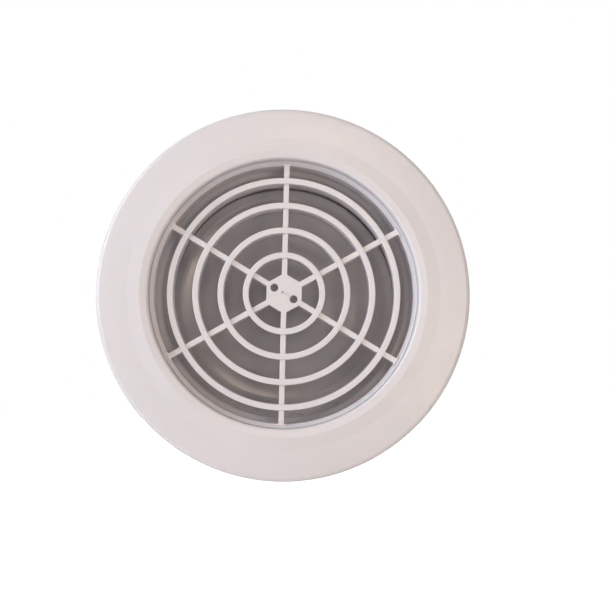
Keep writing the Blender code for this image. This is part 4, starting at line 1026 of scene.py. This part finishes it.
def make_clips():
    for name, side in SIDES:
        x0, x1 = span(side, *metres(52.3, 53.3))
        low, high = (x0, 20.5 * MM, -10 * MM), (x1, 39 * MM, 10 * MM)
        bracket = block(f"clip_bracket_{name}_pressing", low, high, 0.25)
        x0, x1 = span(side, *metres(52.9, 60))
        ears = []
        for z in metres(-9.5, 9.5):
            low, high = (x0, 22 * MM, z - 0.48 * MM), (x1, 30 * MM, z + 0.48 * MM)
            ears.append(block("ear", low, high, 0.2))
        join(bracket, *ears)
        pivot = (side * PIVOT_X, PIVOT_Y)
        pin_hole = drill("pin_hole", 1.5 * MM, -12 * MM, 12 * MM, "Z", pivot, steps=36)
        ends = span(side, *metres(50, 56))
        screw_hole = drill("screw_hole", 1.6 * MM, *ends, "X", (BRACKET_SCREW_Y, 0), steps=36)
        cut(bracket, pin_hole, screw_hole)
        finish(bracket, STEEL, f"clip_bracket_{name}")
        pin = rod(f"clip_pin_{name}_turning", 1.2 * MM, -11.2 * MM, 11.2 * MM, 0.35, 36, "Z", pivot)
        finish(pin, STEEL, f"clip_pin_{name}")
        clip = wire(f"spring_clip_{name}_wire", clip_route(side), CLIP_WIRE)
        finish(clip, SPRING, f"spring_clip_{name}", body=f"{name}_clip")


make_bezel()
make_gasket()
make_grille()
make_damper()
make_flap_spring()
make_housing()
make_screws()
make_terminal_block()
make_cable_clamp()
make_grommets()
make_terminal_lid()
make_impeller()
make_shaft()
make_rotor()
make_stator()
make_coil()
make_bearings()
make_motor_support()
make_leads()
make_clips()

# --- Camera, light and backdrop ---

SENSOR, LENS = 36.0, 49.5
LAMP_YELLOW = (1.0, 0.8, 0.55)
FLOOR_R, FLOOR_BOTTOM, FLOOR_TOP, FLOOR_GLOW = 3.0, -0.262, -0.25, 1.3
CAMERA_DISTANCE = 0.3153
LOOK = {"turn": radians(1.6), "rise": radians(4.0), "roll": radians(1.2)}
ACROSS, UP = -0.0249, 0.0141


def make_camera():
    """The camera stands a little to the lower left of the fan's axis, and is rolled by a degree."""
    data = bpy.data.cameras.new("camera")
    data.sensor_width = SENSOR
    data.lens = LENS
    camera = add("camera", data)
    turn = Matrix.Rotation(-LOOK["turn"], 4, "Z") @ Matrix.Rotation(pi / 2 + LOOK["rise"], 4, "X")
    turn = turn @ Matrix.Rotation(LOOK["roll"], 4, "Z")
    to_fan = turn.to_3x3() @ Vector((ACROSS, UP, -1))
    middle = Vector((0, RING_FRONT, 0))
    camera.matrix_world = Matrix.Translation(middle - to_fan * CAMERA_DISTANCE) @ turn
    bpy.context.scene.camera = camera


def area_light(name, spot, size, power, colour, target=(0, 0, 0)):
    data = bpy.data.lights.new(name, "AREA")
    data.shape = "RECTANGLE"
    data.size, data.size_y = size
    data.energy = power
    data.color = colour
    light = add(name, data)
    light.location = spot
    light.rotation_euler = (Vector(target) - Vector(spot)).to_track_quat("-Z", "Y").to_euler()


def make_studio():
    """Dim white surroundings that the camera sees as plain white, a window at the left, and four lights."""
    scene = bpy.context.scene
    scene.view_settings.view_transform = "Standard"
    world = bpy.data.worlds.new("studio")
    scene.world = world
    world.use_nodes = True
    tree = world.node_tree
    plain = tree.nodes["Background"]
    plain.inputs["Color"].default_value = (1.0, 1.0, 1.0, 1)
    plain.inputs["Strength"].default_value = 0.1
    seen = add_node(tree, "ShaderNodeBackground", None, {"Color": (1, 1, 1, 1), "Strength": 1.0})
    choose = add_node(tree, "ShaderNodeMixShader")
    path = add_node(tree, "ShaderNodeLightPath")
    tree.links.new(path.outputs["Is Camera Ray"], choose.inputs["Fac"])
    tree.links.new(plain.outputs["Background"], choose.inputs[1])
    tree.links.new(seen.outputs["Background"], choose.inputs[2])
    tree.links.new(choose.outputs["Shader"], tree.nodes["World Output"].inputs["Surface"])
    area_light("window", (-0.83, -0.35, 0.3), (0.5, 0.8), 7.8, (0.88, 0.94, 1.0))
    area_light("front_fill", (0.2, -0.68, 0.1), (0.55, 0.55), 1.22, (1.0, 0.96, 0.98))
    area_light("lamp_right", (0.5, -1.0, -0.12), (0.3, 0.34), 2.0, LAMP_YELLOW)
    area_light("lamp_above", (0.12, -1.0, 0.5), (0.3, 0.3), 1.5, LAMP_YELLOW)
    area_light("back_fill", (0.4, 0.9, 0.5), (0.8, 0.8), 1.3, (1.0, 0.97, 0.92), (0, 0.08, 0))


def make_floor():
    """A pale floor, which glows for the camera alone, so that it can't be told from the white behind it."""
    floor = plate("studio_floor", [circle(0, 0, FLOOR_R, 96)], "XY", FLOOR_BOTTOM, FLOOR_TOP, 2)
    glowing = {"Emission_Color": (1, 1, 1, 1)}
    pale = make_material("pale_floor", (0.86, 0.86, 0.86), 0.7, 0, 0.01, 3, bump=0.0, **glowing)
    tree = pale.node_tree
    glow = add_node(tree, "ShaderNodeMath", {"operation": "MULTIPLY"}, {1: FLOOR_GLOW})
    tree.links.new(add_node(tree, "ShaderNodeLightPath").outputs["Is Camera Ray"], glow.inputs[0])
    tree.links.new(glow.outputs[0], tree.nodes["Principled BSDF"].inputs["Emission Strength"])
    floor.data.materials.append(pale)


make_camera()
make_studio()
make_floor()
